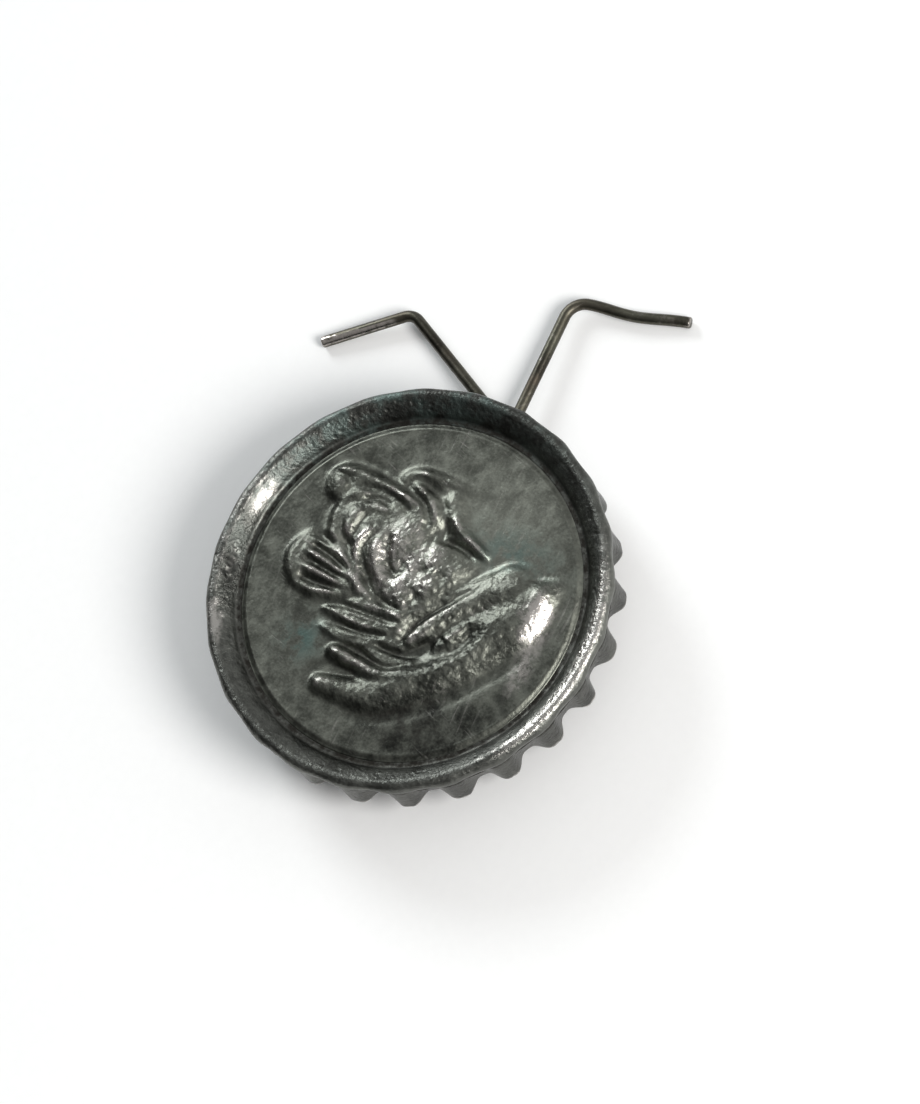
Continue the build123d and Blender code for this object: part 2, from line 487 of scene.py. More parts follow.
@dataclass
class Picture:
    """The struck picture: a hand that rises from the lower edge and holds a posy."""

    hand_height: float = 0.76
    posy_height: float = 0.54
    mass_blur: float = 0.2
    stroke_blur: float = 0.1
    deepest: float = -0.08
    highest: float = 0.88
    wrist_end: float = -11.7
    wrist_slope: float = 1.9

    def masses(self) -> list[Mass]:
        """Broad forms of hand, posy and leaves.

        Returns:
            The forms, in the order in which they are raised.
        """
        h, p = self.hand_height, self.posy_height
        return [
            Mass([(2.6, -13.6), (2.0, -10.2), (-1.2, -7.0)], (2.3, 2.7, 2.2), 1.1 * h),
            Mass([(0.4, -8.2), (-3.8, -5.4), (-7.2, -2.4)], (2.4, 2.0, 1.5), 1.05 * h),
            Mass([(-6.4, -3.4), (-8.6, -0.4), (-9.1, 3.4)], (1.5, 1.3, 0.8), 0.95 * h),
            Mass([(-5.4, -3.2), (-6.9, -0.6), (-6.4, 3.5)], (1.2, 0.95, 0.55), 1.05 * h),
            Mass([(3.0, -7.4), (0.6, -4.6), (-3.6, -1.9)], (1.9, 1.35, 0.7), 1.0 * h),
            Mass([(0.4, 0.6), (1.6, -0.4)], (4.2, 4.3, 3.6), 1.1 * p),
            Mass([(2.2, 3.6), (3.4, 6.4)], (3.4, 3.1, 2.3), 1.25 * p),
            Mass([(4.0, 1.8), (5.2, 3.8), (6.0, 8.6)], (2.2, 2.1, 1.5), 0.95 * p),
            Mass([(-1.3, 4.6), (-0.7, 8.6)], (1.4, 2.5, 2.1), 0.85 * p),
            Mass([(-3.2, -1.0), (-3.5, 2.4), (-3.6, 5.9)], (0.5, 1.0, 0.1), 1.1 * p),
            Mass([(-4.5, 0.4), (-5.1, 2.9), (-4.9, 5.5)], (0.3, 0.75, 0.1), 0.85 * p),
            Mass([(-4.9, 2.1), (-5.7, -0.2), (-5.2, -2.7)], (0.1, 0.75, 0.4), 0.9 * p),
            Mass([(-4.4, 1.4), (-4.3, -0.3), (-4.3, -2.0)], (0.1, 0.6, 0.3), 0.8 * p),
            Mass([(-2.6, 4.4), (-2.3, 1.8), (-2.2, -0.6)], (0.2, 0.65, 0.4), 1.0 * p),
            Mass([(6.2, 0.6), (8.0, 2.6)], (1.2, 1.8, 1.3), 0.6 * p),
            Mass([(4.5, -4.4), (5.5, -1.8), (7.4, 0.0)], (0.3, 0.9, 1.0), 0.8 * p),
        ]

    def hand(self) -> list[Stroke]:
        """Fingers, palm and thumb worked into the hand.

        Returns:
            The strokes.
        """
        return [
            Stroke([(-8.1, 4.7), (-7.7, 2.6), (-7.1, 0.6)], 0.36, -0.42),
            Stroke([(-5.5, 4.0), (-5.9, 1.2), (-6.2, -0.9), (-5.3, -2.8)], 0.3, -0.4),
            Stroke([(-5.6, -2.0), (-4.3, -4.0), (-2.7, -5.6), (-0.4, -6.6)], 0.75, -0.55),
            Stroke([(-4.6, -1.5), (-3.9, -2.6), (-3.4, -3.8)], 0.6, -0.3),
            Stroke([(-2.7, -4.3), (-1.2, -5.3)], 0.6, 0.22),
            Stroke([(-4.3, -1.0), (-2.2, -1.6), (0.2, -3.5), (2.6, -5.3)], 0.3, -0.34),
            Stroke([(-7.4, -1.4), (-5.1, -4.4), (-2.4, -6.8), (1.0, -8.4)], 0.8, 0.14),
            Stroke([(-9.9, 0.6), (-8.9, -2.2), (-6.2, -5.4), (-3.4, -8.0), (-0.6, -10.0)], 0.5, 0.1),
            Stroke([(-10.8, 1.0), (-9.8, -2.4), (-7.0, -6.3), (-3.8, -9.0), (-0.8, -11.4)], 0.5, -0.12),
            Stroke([(4.6, -10.6), (4.0, -8.2), (2.9, -5.8)], 0.4, -0.1),
            Stroke([(3.5, -11.2), (3.0, -8.6), (1.7, -6.2)], 0.7, 0.1),
            Stroke([(-9.8, 1.3), (-9.0, 1.0), (-8.3, 1.2)], 0.16, -0.06),
            Stroke([(-6.9, 1.9), (-6.5, 1.7), (-6.1, 1.9)], 0.15, -0.06),
        ]

    def leaves(self) -> list[Stroke]:
        """Narrow leaves with midribs, the broad ribbed leaf and the curled leaves.

        Returns:
            The strokes.
        """
        strokes = []
        for points in (
            [(-3.3, -1.0), (-3.5, 2.2), (-3.5, 5.0)],
            [(-4.6, 0.6), (-5.1, 2.8), (-4.9, 4.8)],
            [(-5.0, 1.6), (-5.6, -0.2), (-5.3, -2.2)],
        ):
            strokes.append(Stroke(points, 0.2, -0.17))
        for points in (
            [(-4.3, 4.4), (-4.3, 2.2), (-4.0, 0.0)],
            [(-2.8, 4.6), (-2.9, 2.2), (-2.8, -0.6)],
            [(-4.8, 0.8), (-4.9, -0.8), (-4.7, -2.2)],
            [(-1.7, 2.6), (-1.7, 1.0), (-1.8, -0.2)],
        ):
            strokes.append(Stroke(points, 0.24, -0.22))
        ribs = ((-2.6, -2.7, -2.1), (-1.2, -1.3, -1.5), (0.1, -0.3, -0.8), (1.1, 0.7, -0.1))
        for top, bend, low in ribs:
            strokes.append(Stroke([(top, 9.4), (bend, 7.2), (low, 4.9)], 0.3, 0.2))
        grooves = ((-1.9, -2.0, -1.9), (-0.5, -0.8, -1.2), (0.7, 0.3, -0.4))
        for top, bend, low in grooves:
            strokes.append(Stroke([(top, 9.0), (bend, 7.2), (low, 5.0)], 0.27, -0.3))
        return strokes + [
            Stroke([(-2.7, 8.6), (-1.4, 9.9), (0.2, 10.1), (1.9, 9.2)], 0.42, 0.16),
            Stroke([(-2.4, 8.5), (-0.4, 8.8), (1.4, 8.4)], 0.24, -0.1),
            Stroke([(2.2, 8.6), (1.4, 7.2), (0.0, 5.4), (-2.2, 3.2)], 0.34, 0.26),
            Stroke([(2.4, 7.6), (1.3, 5.9), (-0.4, 4.7), (-2.0, 4.0)], 0.26, -0.16),
            Stroke([(6.4, 4.2), (6.7, 2.9), (6.0, 1.7), (4.8, 1.1)], 0.34, 0.24),
            Stroke([(6.9, 3.6), (6.6, 2.1), (5.6, 1.3), (4.6, 1.0)], 0.22, -0.26),
            Stroke([(7.7, 3.6), (7.3, 2.1), (6.3, 0.9), (5.2, 0.4)], 0.34, 0.24),
            Stroke([(7.9, 2.6), (7.5, 1.1), (6.6, 0.0)], 0.24, -0.24),
            Stroke([(8.7, -1.4), (8.9, 1.2), (8.8, 3.2), (8.2, 4.2), (7.2, 4.2)], 0.4, 0.28),
            Stroke([(8.2, 3.4), (8.1, 1.8), (7.6, 0.2)], 0.26, -0.16),
            Stroke([(6.6, -0.7), (5.6, -1.8), (5.0, -3.2), (4.5, -4.6)], 0.36, 0.26),
            Stroke([(4.4, -0.7), (4.5, -2.0), (4.2, -3.6)], 0.26, -0.36),
            Stroke([(4.0, -0.6), (5.2, -0.5), (6.2, -0.2)], 0.28, -0.22),
        ]

    def bloom(self) -> list[Stroke]:
        """Lumps, petals and folds worked into the posy.

        Returns:
            The strokes.
        """
        strokes = []
        lumps = (
            (2.6, 6.6, 0.62, 0.26), (3.9, 6.5, 0.6, 0.26), (5.4, 9.0, 0.75, 0.16),
            (3.7, 2.1, 1.15, 0.28), (2.9, -0.9, 0.8, 0.18), (2.2, -2.7, 0.85, 0.2),
            (0.6, -1.3, 0.85, 0.2), (-1.4, 0.2, 0.75, 0.2), (0.0, 0.9, 0.7, 0.18),
            (3.4, -3.6, 0.6, 0.18), (-2.7, -0.3, 0.55, 0.16), (1.2, 1.4, 0.5, -0.2),
            (4.6, 0.2, 0.5, -0.16), (1.5, -0.2, 0.45, -0.2), (-0.5, -0.6, 0.4, -0.2),
            (1.6, -2.0, 0.35, -0.16),
        )
        for x, y, width, height in lumps:
            strokes.append(Stroke([(x - 0.15, y), (x, y), (x + 0.15, y)], width, height))
        return strokes + [
            Stroke([(1.7, 6.6), (2.2, 7.7), (3.6, 8.3), (5.1, 7.7), (5.8, 6.2)], 0.36, 0.18),
            Stroke([(1.5, 5.6), (2.2, 7.0), (3.4, 7.5)], 0.26, -0.16),
            Stroke([(2.3, 5.9), (3.2, 6.0), (4.4, 5.8)], 0.3, -0.2),
            Stroke([(-2.1, 2.0), (-1.0, 4.0), (0.8, 5.2), (2.3, 5.3), (3.4, 4.5)], 0.4, 0.24),
            Stroke([(-0.8, 3.0), (0.8, 4.6), (2.2, 4.9), (3.4, 4.1)], 0.3, -0.24),
            Stroke([(-0.6, 1.6), (0.4, 3.0), (1.8, 3.8), (3.0, 4.0)], 0.4, 0.24),
            Stroke([(0.3, 1.2), (1.2, 2.5), (2.4, 3.1), (3.6, 3.4)], 0.3, -0.3),
            Stroke([(-1.6, 0.9), (-1.2, 2.6), (-0.2, 4.0)], 0.24, -0.16),
            Stroke([(5.2, 6.7), (5.7, 5.4), (5.5, 4.2)], 0.26, -0.32),
            Stroke([(5.1, 4.0), (4.9, 5.4), (4.7, 6.2)], 0.3, 0.12),
            Stroke([(6.4, 9.9), (6.5, 9.0), (6.1, 8.2), (5.0, 7.9)], 0.22, -0.2),
            Stroke([(6.2, 10.2), (7.1, 8.6), (7.0, 6.2), (6.6, 3.8), (5.5, 1.8)], 0.42, 0.26),
            Stroke([(6.1, 7.6), (6.3, 5.4), (5.9, 3.6), (5.2, 2.4)], 0.28, -0.22),
            Stroke([(7.9, 9.0), (8.1, 7.4), (7.9, 5.8)], 0.4, -0.08),
            Stroke([(4.6, 8.3), (5.0, 9.6), (6.0, 10.1)], 0.3, 0.1),
        ]

    def strike(self, heights: HeightMap) -> None:
        """Raise the broad forms, soften them, then work the strokes in and soften again.

        Args:
            heights: the map that takes the picture.
        """
        for mass in self.masses():
            heights.raise_mass(mass)
        heights.z = heights.blurred(self.mass_blur)
        for stroke in [*self.hand(), *self.leaves(), *self.bloom()]:
            heights.work_stroke(stroke)
        wrist = np.clip((heights.y - self.wrist_end) / self.wrist_slope, 0, 1)
        shaped = heights.z * wrist * wrist * (3 - 2 * wrist)
        heights.z = np.clip(shaped, self.deepest, self.highest)
        heights.z = heights.blurred(self.stroke_blur)


# ---- pieces ----


def radial(verts: np.ndarray) -> np.ndarray:
    """Distance of places from the badge's axis."""
    return np.hypot(verts[..., 0], verts[..., 1])


def bell(value: np.ndarray, middle: float, width: float) -> np.ndarray:
    """Bell curve of a value about a middle, 1 at the middle."""
    return np.exp(-(((value - middle) / width) ** 2))


def angle_bell(degrees: np.ndarray, middle: float, width: float) -> np.ndarray:
    """Bell curve round the badge, in degrees, that passes over the half turn."""
    return np.exp(-((((degrees - middle + 180) % 360 - 180) / width) ** 2))


@dataclass(frozen=True)
class Spot:
    """A soft patch on the disc: its centre, its half widths and how strong it is."""

    centre: tuple[float, float]
    widths: tuple[float, float]
    amount: float = 1.0

    def at(self, places: np.ndarray) -> np.ndarray:
        """Strength at each place.

        Formula: a bell curve both ways, times the amount.

        Args:
            places: places on the disc.

        Returns:
            One value for each place.
        """
        across = (places[..., 0] - self.centre[0]) / self.widths[0]
        upward = (places[..., 1] - self.centre[1]) / self.widths[1]
        return self.amount * np.exp(-(across**2 + upward**2))


@dataclass(frozen=True)
class RimMark:
    """A mark on the rim: angle and spread in degrees, how strong, and the radius it keeps to."""

    angle: float
    spread: float
    amount: float = 1.0
    radius: float = 0.0
    width: float = 0.0

    def at(self, degrees: np.ndarray, r: np.ndarray) -> np.ndarray:
        """Strength at places of those angles and radii; a mark of no width keeps to no radius."""
        across = bell(r, self.radius, self.width) if self.width else 1.0
        return self.amount * angle_bell(degrees, self.angle, self.spread) * across


@dataclass
class FaceDisc:
    """Sunken disc with the struck picture in front and its hollow behind."""

    radius: float = 13.44
    front_z: float = 3.4
    back_z: float = 2.85
    dome: float = 0.1
    edge_round: float = 0.5
    edge_drop: float = 0.18
    line_height: float = 0.012
    line_radius: float = 12.95
    hollow_share: float = 0.6
    grain_height: float = 0.05
    solder_places: tuple[tuple[float, float], ...] = ((-11, 0.9), (11, 0.9))
    front_cells: int = 264
    wall_drops: tuple[float, float] = (0.1, 0.3)
    rough_posy: Spot = Spot((0.6, -0.2), (4.4, 3.4), 0.9)
    rough_palm: Spot = Spot((-3.0, -5.6), (3.6, 2.4), 0.8)
    rubbed_posy: Spot = Spot((1.6, 1.6), (4.2, 4.4))
    # Wear with a painted highlight on the wrist and on the flat ground below the hand.
    wear_and_highlight_spots: tuple[Spot, ...] = (
        Spot((1.6, -10.4), (1.6, 1.3), 0.9),
        Spot((-2.2, -10.9), (3.2, 1.1), 0.6),
    )
    # Painted shade on the flat ground towards -X and -Y.
    painted_lower_left_shade: Spot = Spot((-9.6, -4.6), (3.4, 5.0), 0.45)
    stains: tuple[Spot, ...] = (
        Spot((-6.4, 6.4), (1.6, 1.6), 0.9),
        Spot((5.6, -6.2), (1.8, 3.6), 0.7),
    )
    # Painted reflection and shade in the disc's tone: lighter towards +X and -Y, darker towards -X and
    # -Y, and faintly lighter towards -X and +Y.
    painted_reflection_and_shade_spots: tuple[Spot, ...] = (
        Spot((7.0, -4.5), (5.0, 5.5), 0.6),
        Spot((-8.5, 7.0), (3.5, 4.0), 0.12),
        Spot((-9.8, -6.0), (4.2, 4.6), -0.42),
    )
    smooth_wrist: Spot = Spot((2.0, -10.4), (1.8, 1.2), 0.7)
    heights: HeightMap = field(init=False)

    def __post_init__(self) -> None:
        """Strike the picture into a height map."""
        self.heights = HeightMap(self.radius)
        Picture().strike(self.heights)

    def round_grid(self, cells: int) -> np.ndarray:
        """Places on the disc.

        Formula: a square grid u, v from -1 to 1 goes to x = u sqrt(1 - v squared / 2) and
        y = v sqrt(1 - u squared / 2), which fills the circle without a pole.

        Args:
            cells: cells along each side of the square.

        Returns:
            Two lengths for each place of the grid.
        """
        line = np.linspace(-1, 1, cells + 1)
        u, v = np.meshgrid(line, line, indexing="ij")
        grid = np.stack([u * np.sqrt(1 - v**2 / 2), v * np.sqrt(1 - u**2 / 2)], -1)
        return grid * self.radius

    def granular(self, places: np.ndarray, relief: np.ndarray) -> np.ndarray:
        """Grain of the struck picture: stronger on the posy and palm than on the flat ground.

        Args:
            places: places on the disc.
            relief: the picture's height at each.

        Returns:
            A small height for each place.
        """
        flat = np.concatenate([places, np.zeros_like(places[..., :1])], -1)
        raised = np.clip(relief / 0.3, 0, 1)
        coarse = layered(flat, 0.62, 11, 2)
        fine = layered(flat, 0.3, 17, 2)
        ground = 0.12 * layered(flat, 0.8, 23, 2)
        strength = raised * (0.45 + self.rough_posy.at(places) + self.rough_palm.at(places))
        return self.grain_height * (strength * (0.5 * coarse + 1.5 * fine) + ground)

    def front(self, places: np.ndarray) -> np.ndarray:
        """Height of the front: a low dome, the picture, grain, a fine line and a rounded edge.

        Args:
            places: places on the disc.

        Returns:
            One height for each place.
        """
        r = np.hypot(places[..., 0], places[..., 1])
        relief = self.heights.read(self.heights.z, places)
        fade = np.clip((self.radius - 0.75 - r) / 0.7, 0, 1)
        dome = self.dome * (1 - (r / self.radius) ** 2)
        line = self.line_height * bell(r, self.line_radius, 0.1)
        over = np.clip((r - self.radius + self.edge_round) / self.edge_round, 0, 1)
        edge = self.edge_drop * over * over * (3 - 2 * over)
        return self.front_z + dome + relief * fade + line - edge + self.granular(places, relief)

    def back(self, places: np.ndarray) -> np.ndarray:
        """Height of the back: the picture's softened hollow, flat where the solder sits.

        Args:
            places: places on the disc.

        Returns:
            One height for each place.
        """
        hollow = self.heights.read(self.heights.blurred(0.35), places) * self.hollow_share
        for x, y in self.solder_places:
            apart = np.hypot(places[..., 0] - x, places[..., 1] - y)
            hollow = hollow * np.clip((apart - 2.9) / 1.6, 0, 1)
        r = np.hypot(places[..., 0], places[..., 1])
        hollow = hollow * np.clip((self.radius - 0.6 - r) / 1.2, 0, 1)
        return self.back_z + hollow

    def make(self) -> bpy.types.Object:
        """Build the disc: front and back grids, with a wall of three rows round the edge.

        The back has half as many cells a side, so each back edge place meets every second
        place of the wall.

        Returns:
            The closed disc.
        """
        n, m = self.front_cells, self.front_cells // 2
        top, low = self.round_grid(n), self.round_grid(m)
        top_verts = np.dstack([top, self.front(top)]).reshape(-1, 3)
        low_verts = np.dstack([low, self.back(low)]).reshape(-1, 3)
        rim = self.edge_order(n)
        low_rim = self.edge_order(m)
        wall = [top_verts[rim] - np.array([0, 0, drop]) for drop in self.wall_drops]
        shift = len(top_verts)
        rows = [rim, shift + np.arange(len(rim)), shift + len(rim) + np.arange(len(rim))]
        shift += 2 * len(rim)
        faces = grid_faces(n + 1, n + 1, False, False).tolist()
        faces = [f[::-1] for f in faces] if self.upside(top_verts, faces[0]) else faces
        below = (grid_faces(m + 1, m + 1, False, False) + shift).tolist()
        flip = self.upside(low_verts, [k - shift for k in below[0]])
        faces += below if flip else [f[::-1] for f in below]
        for upper, lower in zip(rows, rows[1:]):
            after, under = np.roll(upper, -1), np.roll(lower, -1)
            faces += np.stack([upper, lower, under, after], -1).tolist()
        last = rows[-1]
        bottom = shift + low_rim
        following = np.roll(bottom, -1)
        faces += np.stack([last[0::2], bottom, last[1::2]], -1).tolist()
        faces += np.stack([last[1::2], bottom, following], -1).tolist()
        faces += np.stack([last[1::2], following, np.roll(last, -2)[0::2]], -1).tolist()
        verts = np.vstack([top_verts, *wall, low_verts])
        piece = add_mesh("face_disc", verts, faces)
        self.mark(piece, verts, len(top_verts))
        return piece

    @staticmethod
    def upside(verts: np.ndarray, face: list[int]) -> bool:
        """Whether a face's corners turn clockwise seen from above."""
        a, b, c = (verts[k] for k in face[:3])
        return float(np.cross(b - a, c - a)[2]) < 0

    @staticmethod
    def edge_order(cells: int) -> np.ndarray:
        """Number the vertices round a square grid's edge.

        Args:
            cells: cells along each side.

        Returns:
            Vertex numbers, counter-clockwise seen from above.
        """
        n = cells + 1
        k = np.arange(cells)
        low = k * n
        right = cells * n + k
        high = (cells - k) * n + cells
        left = cells - k
        return np.concatenate([low, right, high, left])

    def mark(self, piece: bpy.types.Object, verts: np.ndarray, top: int) -> None:
        """Store each place's wear with painted highlights, grime with painted shade, stains, tone with
        painted reflection and shade, and grain.

        Args:
            piece: the disc.
            verts: its places.
            top: how many of them, the first ones, are the front's.
        """
        places = verts[:, :2]
        relief = self.heights.read(self.heights.z, places)
        proud = self.heights.read(self.heights.z - self.heights.blurred(0.3), places)
        on_top = (np.arange(len(verts)) < top).astype(float)
        raised = np.clip(relief / 0.3, 0, 1)
        posy = self.rubbed_posy.at(places)
        worn = (0.5 * np.clip(proud / 0.12, 0, 1) + 0.5 * posy) * np.clip(relief / 0.5, 0, 1)
        # Painted highlight on the wrist and on the ground below the hand, with wear.
        worn += sum(spot.at(places) for spot in self.wear_and_highlight_spots)
        # Painted highlight along the fine raised line near the disc's edge.
        worn += 0.12 * bell(radial(verts), self.line_radius, 0.12)
        # Darker in the creases, with painted shade on the flat ground towards -X and -Y.
        deep = 0.5 * np.clip(-proud / 0.14, 0, 1) + self.painted_lower_left_shade.at(places) * (1 - raised)
        stain = sum(spot.at(places) for spot in self.stains)
        # Tone with painted reflection and shade from the spots.
        light = 0.27 + 0.25 * posy * raised + sum(spot.at(places) for spot in self.painted_reflection_and_shade_spots)
        grainy = 0.45 + 0.8 * np.clip(relief / 0.35, 0, 1) - self.smooth_wrist.at(places)
        store(
            piece,
            worn=np.clip(worn, 0, 1) * on_top,
            deep=np.clip(deep, 0, 1) * on_top,
            stain=np.clip(stain, 0, 1) * on_top,
            light=np.clip(light, 0, 1),
            grainy=np.clip(grainy, 0.2, 1),
        )


@dataclass
class RimAndSkirt:
    """Groove, slope, rounded rim and fluted skirt: one ring of sheet turned round the disc."""

    groove_radius: float = 13.66
    groove_z: float = 3.2
    sheet: float = 0.55
    bend_radius: float = 15.415
    bend_z: float = 3.775
    bend_outside: float = 0.655
    slope: float = 37.0
    neck_z: float = 3.12
    neck_radius: float = 15.74
    tip_radius: float = 15.98
    valley_radius: float = 14.7
    neck_wave: float = 0.3
    rim_wave: float = 0.1
    slope_swell: float = 0.09
    flutes: int = 24
    first_tip: float = 7.5
    columns: int = 1152
    skirt_rows: int = 20
    slope_start: float = 3.3
    crest_z: float = 4.42
    highest: float = 4.445
    edge_radius: float = 0.16
    filed_lump: RimMark = RimMark(103, 9, 1.0, 14.4, 0.65)
    filed: RimMark = RimMark(103, 10, 1.0, 14.4, 0.8)
    smooth: RimMark = RimMark(121, 6, 0.75, 15.2, 0.9)
    # Crest and slope wear with painted highlights near -94 and 79 to 90 degrees; the mark at 120
    # degrees is wear only.
    crest_wear_and_highlights: tuple[RimMark, ...] = (RimMark(-94, 30, 0.8), RimMark(90, 50, 0.25))
    rim_wear_and_highlights: tuple[RimMark, ...] = (
        RimMark(-94, 24, 1.0, 15.1, 0.4),
        RimMark(79, 7, 0.8, 14.4, 0.5),
        RimMark(120, 6, 0.6, 15.2, 0.7),
    )
    # Painted shade on the rim near 10 degrees, a painted highlight on the front near -75 degrees and
    # one on the slope near 79 degrees.
    shade: RimMark = RimMark(10, 45, -0.3)
    painted_front_highlight: RimMark = RimMark(-75, 35, 0.4)
    painted_slope_highlight: RimMark = RimMark(79, 9, 0.3)
    stain: RimMark = RimMark(30, 50, 0.5)

    def outside(self) -> list[tuple[float, float, float]]:
        """Outer outline from the groove to the skirt's edge.

        Returns:
            Radius, height and flute share of each row.
        """
        tilt = 90 + self.slope
        over = arc((self.bend_radius, self.bend_z), self.bend_outside, tilt, -42, 22)
        start = np.array([self.groove_radius + 0.24, self.groove_z + 0.1])
        reach = np.array([-0.3, -0.21, -0.14, -0.07, 0, 0.08, 0.16])
        rise = np.array([-0.03, 0.008, 0.004, 0, 0, 0.012, 0.045])
        groove = np.column_stack([self.groove_radius + reach, self.groove_z + rise])
        t = np.linspace(0, 1, 14)[:-1, None]
        lean = math.radians(tilt)
        swell = self.slope_swell * np.sin(math.pi * t) * np.array([math.cos(lean), math.sin(lean)])
        slope = start * (1 - t) + over[0] * t + swell
        plain = np.vstack([groove, slope, over, [(self.neck_radius + 0.01, self.neck_z + 0.1)]])
        rows = [(r, z, 0.0) for r, z in plain]
        heights = self.neck_z * (1 - np.linspace(0, 1, self.skirt_rows) ** 1.1)
        rows += [(self.neck_radius, z, 1 - z / self.neck_z) for z in np.maximum(heights, 0.06)]
        return rows

    def inside(self) -> list[tuple[float, float, float]]:
        """Inner outline from the skirt's edge back to the disc.

        Returns:
            Radius, height and flute share of each row.
        """
        heights = self.neck_z * np.linspace(0, 1, self.skirt_rows - 6) ** 0.9
        low = self.neck_radius - self.sheet
        rows = [(low, z, 1 - z / self.neck_z) for z in np.maximum(heights, 0.06)]
        hook = arc((self.bend_radius - 0.01, self.bend_z), 0.13, -10, 90 + self.slope, 6)
        ahead = np.array([(13.95, 2.8), (13.78, 2.71), (13.62, 2.69), (13.48, 2.74), (13.42, 2.86)])
        rows += [(low + 0.1, self.neck_z + 0.25, 0.0), *[(r, z, 0.0) for r, z in hook]]
        t = np.linspace(0, 1, 7)[1:-1, None]
        under = hook[-1] * (1 - t) + ahead[0] * t
        return rows + [(r, z, 0.0) for r, z in np.vstack([under, ahead])]

    def wave(self, angle: np.ndarray) -> np.ndarray:
        """One wave a flute, 1 at a tip and 0 in a valley.

        Formula: the smooth step of 0.5 + 0.5 cos, so that tips and valleys are broad and
        round; slow noise round the ring makes each flute a little different.

        Args:
            angle: angles round the badge in radians.

        Returns:
            One value for each angle.
        """
        turn = self.flutes * (angle - math.radians(self.first_tip))
        ring = np.stack([np.cos(angle), np.sin(angle), 0 * angle], -1)
        turn = turn + 0.22 * noise(ring, 0.23, 5)
        high = (0.5 + 0.5 * np.cos(turn)) ** 0.95
        return high * high * (3 - 2 * high) * (1 - 0.1 * (0.5 + 0.5 * noise(ring, 0.2, 9)))

    def make(self) -> bpy.types.Object:
        """Build the ring.

        Formula: each row of the outline goes round the axis; the skirt's rows have the radius
        valley + (tip - valley) times the wave, where tip and valley part in proportion to the
        flute share, and the whole front is uneven by a few hundredths.

        Returns:
            The closed ring.
        """
        outer, inner = self.outside(), self.inside()
        rows = np.array(outer + inner)
        angle = np.linspace(0, TURN, self.columns, endpoint=False)
        r, z, share = (rows[:, k][:, None] for k in range(3))
        is_inner = (np.arange(len(rows)) >= len(outer))[:, None]
        skirt = share > 0
        neck_tip = self.neck_radius + self.neck_wave / 2
        neck_valley = self.neck_radius - self.neck_wave / 2
        tip = neck_tip + (self.tip_radius - neck_tip) * share
        valley = neck_valley + (self.valley_radius - neck_valley) * share**0.85
        fluted = valley + (tip - valley) * self.wave(angle)[None]
        fluted = fluted - np.where(is_inner, self.sheet, 0)
        radius = np.where(skirt, fluted, r + 0 * angle[None])
        radius = self.round_edge(radius, z, is_inner)
        verts = np.stack([radius * np.cos(angle), radius * np.sin(angle), z + 0 * radius], -1)
        verts = self.roughen(verts, len(outer))
        faces = grid_faces(len(rows), self.columns, True, True)[:, ::-1].tolist()
        piece = add_mesh("rim_and_skirt", verts.reshape(-1, 3), faces)
        self.mark(piece, verts, len(outer))
        return piece

    def round_edge(self, radius: np.ndarray, z: np.ndarray, is_inner: np.ndarray) -> np.ndarray:
        """Take the skirt's edge off by a quarter circle at its outer and inner corner.

        Args:
            radius: radius of each place.
            z: height of each row.
            is_inner: whether the row is on the inside.

        Returns:
            The new radius of each place.
        """
        reach = self.edge_radius
        over = np.clip((reach - z) / reach, 0, 1) * (z < reach)
        off = reach * (1 - np.sqrt(1 - over**2)) * 0.7
        return radius + np.where(is_inner, off, -off)

    def roughen(self, verts: np.ndarray, outer: int) -> np.ndarray:
        """Make the front uneven: slow waves and hammer marks on slope and rim, and a filed flat.

        Args:
            verts: places by row and column.
            outer: how many rows, the first ones, are on the outside.

        Returns:
            The moved places.
        """
        turn = np.arctan2(verts[..., 1], verts[..., 0])
        r, z = radial(verts), verts[..., 2]
        front = self.front_share(verts, outer)
        slope = front * np.clip((z - self.slope_start) / 0.35, 0, 1)
        amount = 0.035 * layered(verts, 1.5, 31, 3) + 0.02 * layered(verts, 0.6, 37, 2)
        lump = self.filed_lump.at(np.degrees(turn), r)
        amount = amount - 0.12 * lump + 0.07 * lump * layered(verts, 0.42, 41, 2)
        amount = np.minimum(amount, 0.04)
        lean = math.radians(90 + self.slope)
        flat = math.cos(lean)
        upright = 0 * r + math.sin(lean)
        out = np.stack([flat * np.cos(turn), flat * np.sin(turn), upright], -1)
        verts = verts + (slope * amount)[..., None] * out
        verts[..., 2] = np.minimum(verts[..., 2], self.highest)
        side = front * bell(z, 3.6, 0.5) * np.clip((r - 15.3) / 0.5, 0, 1) * (z > self.neck_z)
        flute = np.cos(self.flutes * (turn - math.radians(self.first_tip)))
        shift = side * (self.rim_wave * (flute - 1) + 0.035 * layered(verts, 1.1, 43, 2))
        outward = np.stack([np.cos(turn), np.sin(turn), 0 * turn], -1)
        verts = verts + np.minimum(shift, 0.02)[..., None] * outward
        skirt = front * (z < self.neck_z) * 0.02 * layered(verts, 1.3, 47, 3)
        return verts + np.minimum(skirt, 0.01)[..., None] * outward

    @staticmethod
    def front_share(verts: np.ndarray, outer: int) -> np.ndarray:
        """1 for the places of the outer rows and 0 for the rest."""
        return np.broadcast_to((np.arange(len(verts)) < outer)[:, None], verts.shape[:2]).astype(float)

